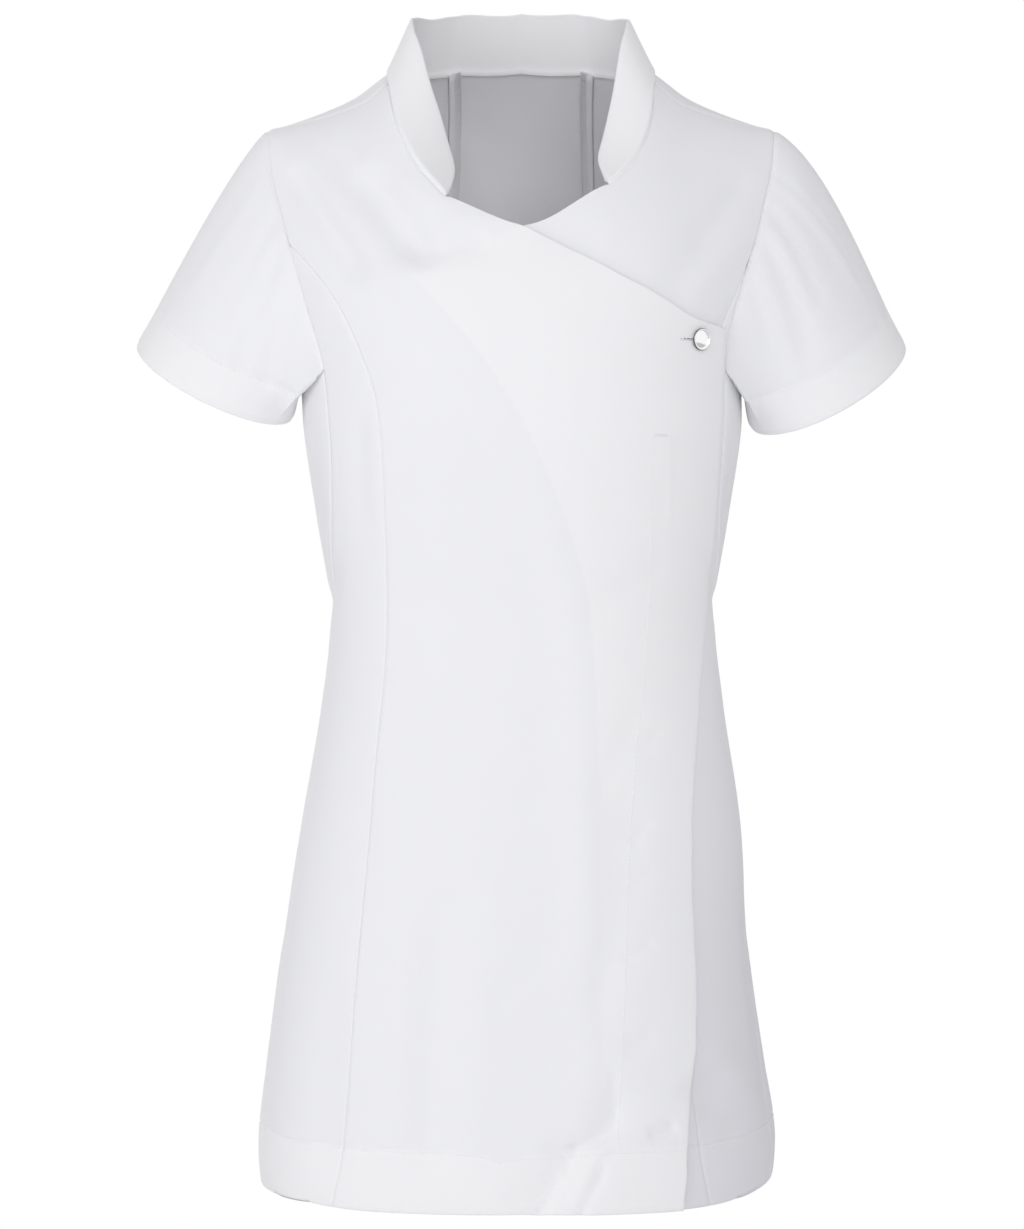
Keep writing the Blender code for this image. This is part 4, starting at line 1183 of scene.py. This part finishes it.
def button():
    spot, across, upwards, away = stand_on(*BUTTON_PLACE)
    under = float(wrap_lift(*BUTTON_PLACE)) + SEAM_GAP
    inner, rim = BUTTON_RADIUS - BUTTON_RIM, BUTTON_RIM / 2
    profile = [
        (max(inner * share, BUTTON_CORE),
         under + BUTTON_RIM * 0.55 + BUTTON_DOME * (1 - share ** 2))
        for share in np.linspace(0, 1, 9)
    ]
    profile += [
        (BUTTON_RADIUS - rim + rim * math.cos(turn),
         under + rim + rim * math.sin(turn) + 0.0003 * (turn > 0))
        for turn in np.radians(np.linspace(160, -90, 14))
    ]
    profile += [(SHANK_RADIUS, under), (SHANK_RADIUS, SEAM_GAP), (BUTTON_CORE, SEAM_GAP)]
    radius, height = np.array(profile).T
    turns = np.linspace(0, 2 * math.pi, BUTTON_SPOKES + 1)
    circle = np.cos(turns)[:, None] * across + np.sin(turns)[:, None] * upwards
    points = spot + radius[:, None, None] * circle + height[:, None, None] * away
    cut = np.stack(np.broadcast_arrays(radius[:, None] * 0, turns[None]), axis=-1)
    piece = grid_mesh("metal_button", [(points, cut, 1.0)])
    piece.data.set_sharp_from_angle(angle=math.radians(50))
    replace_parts(piece, "button")
    return Vector(spot + away * (under + BUTTON_RIM))


button_middle = button()

# %% [markdown]
# ## Seam allowances and overlock thread
# Inside a garment every seam keeps a narrow strip of both layers, pressed to one side, with its
# raw edge bound by an overlock machine. In the picture they show through the neck, on the inside
# of the back. Each is a thin strip that follows the seam's own line of places, and the thread is
# a zigzag tube along its free edge.

# %% Seam allowances
ALLOWANCE = 0.0095
ALLOWANCE_COLUMNS = 7
ALLOWANCE_THICKNESS = 0.0009   # both layers, pressed flat
OVERLOCK_PITCH = 0.0024
THREAD_RADIUS = 0.00017
threads = {}


def tubes(name, lines, radius):
    """Thread: many short or long lines in one curve object."""
    data = bpy.data.curves.new(name, "CURVE")
    data.dimensions = "3D"
    data.bevel_depth = radius
    data.bevel_resolution = 1
    data.use_fill_caps = True
    for line in lines:
        spline = data.splines.new("POLY")
        spline.points.add(len(line) - 1)
        spline.points.foreach_set("co", np.c_[line, np.ones(len(line))].ravel())
    piece = bpy.data.objects.new(name, data)
    tunic.objects.link(piece)
    threads[name] = piece


def evenly(line, step):
    """Points every step along a line, and the same places in any lines given beside it."""
    run = run_along(line[:, :3])
    return read_off(line, run, np.arange(0, run[-1], step))


def allowance(name, line, side):
    """A strip inside the seam, towards plus or minus angles, and the thread on its edge."""
    line = line[form(line)[:, 2] > HEM_LEVEL + HEM_DEPTH]
    degree = np.linalg.norm(form(line + np.array([1.0, 0])) - form(line), axis=1)
    turn = side * ALLOWANCE / np.maximum(degree, 0.0008)
    share = np.linspace(0, 1, ALLOWANCE_COLUMNS)
    angle = line[:, :1] + turn[:, None] * share
    places = np.stack(np.broadcast_arrays(angle, line[:, 1:]), axis=-1)
    points, normals = form(places), form_normals(places)
    run = runs(points, 0)[0]
    below = CLOTH + 0.0005 + FURROW_DEPTH * bell(share * ALLOWANCE, 0.0016)
    curl = 0.0005 * share ** 2 * (1.2 + waves(run, 203, (0.027, 0.041, 0.013)))
    points = points + normals * (folds(points) - below - curl)[..., None]
    strip = points[:, ::side], cut_map(places)[:, ::side], 1.0
    thicken(grid_mesh(name, [strip]), ALLOWANCE_THICKNESS)
    inward = points - normals * 0.0011
    edge, inner = inward[:, -1], inward[:, -4]
    both = evenly(np.hstack([edge, inner]), OVERLOCK_PITCH / 2)
    swing = (np.arange(len(both)) % 2)[:, None]
    zigzag = both[:, :3] * swing + both[:, 3:] * (1 - swing)
    tubes(name + "_thread", [zigzag, evenly(edge, OVERLOCK_PITCH * 2)], THREAD_RADIUS)


nape_end = neck_back()[0][-1]
allowance("allowance_back_left", back_seam(nape_end), 1)
allowance("allowance_back_right", mirrored(back_seam(nape_end)), -1)
allowance("allowance_front_right", princess(PRINCESS_RIGHT, -1)[BUST_ROWS // 2:], -1)
allowance("allowance_front_left", princess(PRINCESS_LEFT, 1)[BUST_ROWS // 2:], 1)
allowance("allowance_side_right", side_seam(-1), -1)
allowance("allowance_side_left", side_seam(1), 1)

# %% [markdown]
# ## Stitches that show
# The hems are sewn through, and a line of stitches holds the facing behind the wrap's free edge,
# with a short bar tack at its top. Each stitch is a tiny bent tube with both ends in the cloth.

# %% Stitch lines
STITCH = 0.0024
STITCH_GAP = 0.0009
STITCH_RADIUS = 0.00028
STITCHES_BELOW = 0.0012    # how far below the top of a hem its stitches run
STITCH_STEP = 0.0003
STITCH_ARCH = (-0.0003, 0.00012, 0.00022, 0.00012, -0.0003)   # how it lies over the cloth


def stitched(name, line, stitch=STITCH, gap=STITCH_GAP):
    """Stitches along a line of points with their normals, each with both ends in the cloth."""
    both = evenly(line, STITCH_STEP)
    spots, ups = both[:, :3], unit(both[:, 3:])
    step, long = round((stitch + gap) / STITCH_STEP), round(stitch / STITCH_STEP)
    lines = []
    for start in range(0, len(spots) - long, step):
        picked = np.linspace(start, start + long, len(STITCH_ARCH)).astype(int)
        lines.append(spots[picked] + ups[picked] * np.array(STITCH_ARCH)[:, None])
    tubes(name, lines, STITCH_RADIUS)


def line_above_hem(points, normals, depth):
    """The line of a skin that runs at one distance above its lower edge."""
    up = runs(points, 0)[1]
    both = np.concatenate([points, normals], axis=-1)[::-1]
    return np.concatenate([
        read_off(both[:, j], up[::-1, j], [depth]) for j in range(points.shape[1])
    ])


for name, (points, normals, depth) in skins.items():
    stitched(name + "_hem_stitches", line_above_hem(points, normals, depth - STITCHES_BELOW))

# %% The facing's stitches, and the bar tack
FACING_LINE = mm(
    # level, out
    (-717.3, 63.9), (-653.4, 67.3), (-604.1, 69.3), (-562.1, 70.6), (-516.9, 72.6),
    (-458.9, 76.6), (-430.3, 79.9), (-355.7, 85.9), (-246.5, 87.2),
)
BAR_TACK = (-0.2452, 0.0879, 0.0979)   # level, from out, to out
TACK_RADIUS = 0.00022
skin = skins["over_layer"][0]
over_skin = BVHTree.FromPolygons(skin.reshape(-1, 3).tolist(), cells_of(*skin.shape[:2]).tolist())


def on_the_wrap(out, level):
    """The over-layer's surface straight behind a spot of the picture."""
    spot, up, _, _ = over_skin.ray_cast(Vector((out, -0.5, level)), Vector((0, 1, 0)))
    up = np.array(up)
    return np.concatenate([np.array(spot), up * -np.sign(up[1])])


levels = np.linspace(FACING_LINE[-1][0], FACING_LINE[0][0], 160)
facing = [on_the_wrap(out, level) for out, level in zip(smooth(FACING_LINE, levels), levels)]
stitched("facing_stitches", np.array(facing), 0.0020, 0.0010)
tack = np.array([on_the_wrap(out, BAR_TACK[0]) for out in np.linspace(*BAR_TACK[1:], 24)])
ends = np.array([-0.0003, *[TACK_RADIUS] * 22, -0.0003])[:, None]
tubes("bar_tack", [
    tack[:, :3] + tack[:, 3:] * ends + np.array([0, 0, height])
    for height in (-0.0006, -0.0002, 0.0002, 0.0006)
], TACK_RADIUS)

# %% [markdown]
# ## The buttonhole
# A slit with a row of close satin stitches down each side. The shank sits in its outer end, so
# only the inner end of the slit shows beside the button.
# The slit itself is a dark strip of painted shadow, because the over-layer has no real hole.

# %% Buttonhole
SLIT_LENGTH = 0.0170
SLIT_PAST_SHANK = 0.0055
SLIT_HALF = 0.00035
SATIN_WIDTH = 0.0011
SATIN_PITCH = 0.00042
SATIN_RADIUS = 0.0002


def buttonhole():
    level = BUTTON_PLACE[1] - 0.0004
    start = BUTTON_PLACE[0] + SLIT_PAST_SHANK - SLIT_LENGTH
    lines, slit = [], []
    for out in np.arange(start, start + SLIT_LENGTH, SATIN_PITCH):
        slit.append(on_the_wrap(out, level))
        spot, up = slit[-1][:3], slit[-1][3:] * 0.00018
        for side in (-1, 1):
            inner = np.array([0, 0, side * SLIT_HALF])
            outer = np.array([0, 0, side * (SLIT_HALF + SATIN_WIDTH)])
            lines.append(spot + np.array([
                inner - up, inner * 1.6 + up, outer * 0.85 + up, outer - up
            ]))
    tubes("buttonhole_stitches", lines, SATIN_RADIUS)
    # The slit is a near-black strip of painted shadow just over the cloth: the over-layer has no
    # hole.
    slit = np.array(slit)
    across = np.array([[0, 0, SLIT_HALF * 1.3], [0, 0, -SLIT_HALF * 1.3]])
    strip = (slit[:, None, :3] + slit[:, None, 3:] * 0.00006 + across).swapaxes(0, 1)
    grid_mesh("buttonhole_slit", [(strip, strip[..., (0, 2)], 0.0)])


buttonhole()

# %% [markdown]
# ## Finishes
# White twill gets its look from three things: a fine diagonal line, a soft unevenness of the
# yarn, and how many layers lie behind it, together with painted shade. One layer is painted a
# little greyer than two, for the shaded inside that shows through it, and the panels in the
# wrap's lee are painted a greyer shade. All three come from the cut map and the layers that
# every sheet carries, so one material serves them all. The button is polished metal, and the
# outer edge of its rounded rim is painted dark metal, a painted reflection of the shaded side of
# the room.

# %% Setting up nodes
def wire(tree, node, sockets):
    """Fill a node's inputs: an output of another node is linked, anything else is its value."""
    for name, value in sockets.items():
        if isinstance(value, bpy.types.NodeSocket):
            tree.links.new(value, node.inputs[name])
        else:
            node.inputs[name].default_value = value
    return node


def add(tree, kind, sockets, operation=None):
    node = tree.nodes.new("ShaderNode" + kind)
    if operation:
        node.operation = operation
    return wire(tree, node, sockets)


def finish(name, sockets):
    material = bpy.data.materials.new(name)
    material.use_nodes = True
    wire(material.node_tree, material.node_tree.nodes["Principled BSDF"], sockets)
    return material


# %% White twill
# The ramp runs from 0 to 2. At 0 is painted shade, for the panels in the wrap's lee. At 1 is one
# layer. At 2 is two layers, whose brighter white is painted, because no shaded inside shows through
# it.
SHADED_WHITE = (0.765, 0.758, 0.800, 1)
SINGLE_WHITE = (0.895, 0.896, 0.910, 1)
DOUBLE_WHITE = (0.920, 0.920, 0.930, 1)


def twill(name):
    """White twill: colour by the layers behind it and by painted shade, a fine diagonal line, and
    soft unevenness.
    """
    material = finish(name, {
        "Roughness": 0.88, "Specular IOR Level": 0.25, "Sheen Weight": 0.12, "Sheen Roughness": 0.5,
    })
    tree = material.node_tree
    cut = add(tree, "UVMap", {})
    cut.uv_map = "cut"
    flat = cut.outputs["UV"]
    layers_and_shade = add(tree, "Attribute", {})
    layers_and_shade.attribute_name = "layers_and_shade"
    share = add(tree, "MapRange", {"Value": layers_and_shade.outputs["Fac"], "From Max": 2.0})
    colour = add(tree, "ValToRGB", {"Fac": share.outputs["Result"]})
    ramp = colour.color_ramp.elements
    ramp[0].color, ramp[1].color = SHADED_WHITE, DOUBLE_WHITE
    ramp.new(0.5).color = SINGLE_WHITE
    turn = add(tree, "Mapping", {"Vector": flat, "Rotation": (0, 0, math.radians(58))})
    weave = add(tree, "TexWave", {
        "Vector": turn.outputs["Vector"], "Scale": 560.0, "Distortion": 1.2, "Detail": 2.0,
    })
    slub = add(tree, "TexNoise", {"Vector": flat, "Scale": 90.0, "Detail": 3.0})
    rough = add(tree, "Bump", {
        "Height": slub.outputs["Fac"], "Strength": 0.10, "Distance": 0.0006,
    })
    bump = add(tree, "Bump", {
        "Height": weave.outputs["Fac"], "Normal": rough.outputs["Normal"],
        "Strength": 0.14, "Distance": 0.00015,
    })
    wire(tree, tree.nodes["Principled BSDF"], {
        "Base Color": colour.outputs["Color"], "Normal": bump.outputs["Normal"],
    })
    return material


# %% Every piece gets its finish
WHITE_TWILL, COLLAR_TWILL = twill("white_twill"), twill("collar_twill")
POLISHED = finish("polished_metal", {
    "Base Color": (0.93, 0.93, 0.92, 1), "Metallic": 1.0, "Roughness": 0.10,
})
# Painted reflection: the rim's outer edge gets a dark metal colour that stands in for the shaded
# side of the room, which the rim mirrors.
PAINTED_RIM_REFLECTION = finish("painted_dark_reflection", {
    "Base Color": (0.22, 0.22, 0.23, 1), "Metallic": 1.0, "Roughness": 0.25,
})
SHADOW_CLOTH = finish("slit_shadow", {"Base Color": (0.10, 0.10, 0.12, 1), "Roughness": 1.0})
THREAD = finish("white_thread", {
    "Base Color": (0.90, 0.90, 0.91, 1), "Roughness": 0.55, "Sheen Weight": 0.2,
})
OWN_FINISH = {
    "metal_button": ((POLISHED, PAINTED_RIM_REFLECTION), "button_metal"),
    "buttonhole_slit": ((SHADOW_CLOTH,), "tunic_cloth"),
    "stand_collar": ((COLLAR_TWILL,), "collar_cloth"),
}
for name, piece in [*threads.items(), *made.items()]:
    usual = THREAD if name in threads else WHITE_TWILL
    materials, slot = OWN_FINISH.get(name, ((usual,), "tunic_cloth"))
    for material in materials:
        piece.data.materials.append(material)
    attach(piece, "root")
# The outer edge of the rim takes the dark metal, a painted reflection.
for face in made["metal_button"].data.polygons:
    reach = (face.center - button_middle).length
    face.material_index = int(reach > BUTTON_RADIUS - 0.0005)
print("pieces:", len(made), "and threads:", len(threads))

# %% [markdown]

# %% [markdown]
# ## Light
# A catalogue photograph of white cloth is lit so softly that only the slope of the cloth shows.
# The room is white, a little darker above and on the garment's left side, with one broad
# light from the viewer's left, one from the front, which also reaches in through the neck, and
# one from behind for the back. The camera and the metal see plain white all round.

# %% Light
AMBIENT = 0.65
AMBIENT_LEAN = (-0.01, 0.0, -0.17)
world = bpy.data.worlds.new("white room")
bpy.context.scene.world = world
world.use_nodes = True
tree = world.node_tree
looking, seen = add(tree, "TexCoord", {}), add(tree, "LightPath", {})
lean = add(tree, "VectorMath", {0: looking.outputs["Generated"], 1: AMBIENT_LEAN}, "DOT_PRODUCT")
strength = add(tree, "Math", {0: lean.outputs["Value"], 1: AMBIENT}, "ADD")
ambient = wire(tree, tree.nodes["Background"], {
    "Color": (0.975, 0.975, 1.0, 1), "Strength": strength.outputs["Value"],
})
plain = add(tree, "Background", {"Color": (1, 1, 1, 1), "Strength": 1.0})
seen_or_mirrored = add(tree, "Math", {
    0: seen.outputs["Is Camera Ray"], 1: seen.outputs["Is Glossy Ray"],
}, "MAXIMUM")
choose = add(tree, "MixShader", {
    "Fac": seen_or_mirrored.outputs["Value"],
    1: ambient.outputs["Background"], 2: plain.outputs["Background"],
})
wire(tree, tree.nodes["World Output"], {"Surface": choose.outputs["Shader"]})
bpy.context.scene.view_settings.view_transform = "Standard"

LIGHTS = (
    # name, place, size, watts
    ("soft_key", (-2.4, -2.0, 0.2), 2.4, 18.0),
    ("front_fill", (0.5, -3.3, 0.6), 2.0, 29.0),
    ("back_fill", (-0.9, 3.2, 0.6), 2.0, 29.0),
)
for name, spot, size, watts in LIGHTS:
    light_data = bpy.data.lights.new(name, "AREA")
    light_data.shape = "SQUARE"
    light_data.size = size
    light_data.energy = watts
    light = bpy.data.objects.new(name, light_data)
    light.location = spot
    aim = Vector((0, 0, -0.3)) - light.location
    light.rotation_euler = aim.to_track_quat("-Z", "Y").to_euler()
    bpy.context.scene.collection.objects.link(light)

# %% Floor
FLOOR_LEVEL = -1.45
FLOOR_RADIUS = 4.4
FLOOR_CORNERS = 96
floor_mesh = bpy.data.meshes.new("floor")
floor_mesh.from_pydata([
    (FLOOR_RADIUS * math.cos(turn), FLOOR_RADIUS * math.sin(turn), FLOOR_LEVEL)
    for turn in np.linspace(0, 2 * math.pi, FLOOR_CORNERS, endpoint=False)
], [], [tuple(range(FLOOR_CORNERS))])
floor = bpy.data.objects.new("floor", floor_mesh)
floor_mesh.materials.append(finish("pale_floor", {
    "Base Color": (0.88, 0.88, 0.89, 1), "Roughness": 0.7,
}))
bpy.context.scene.collection.objects.link(floor)
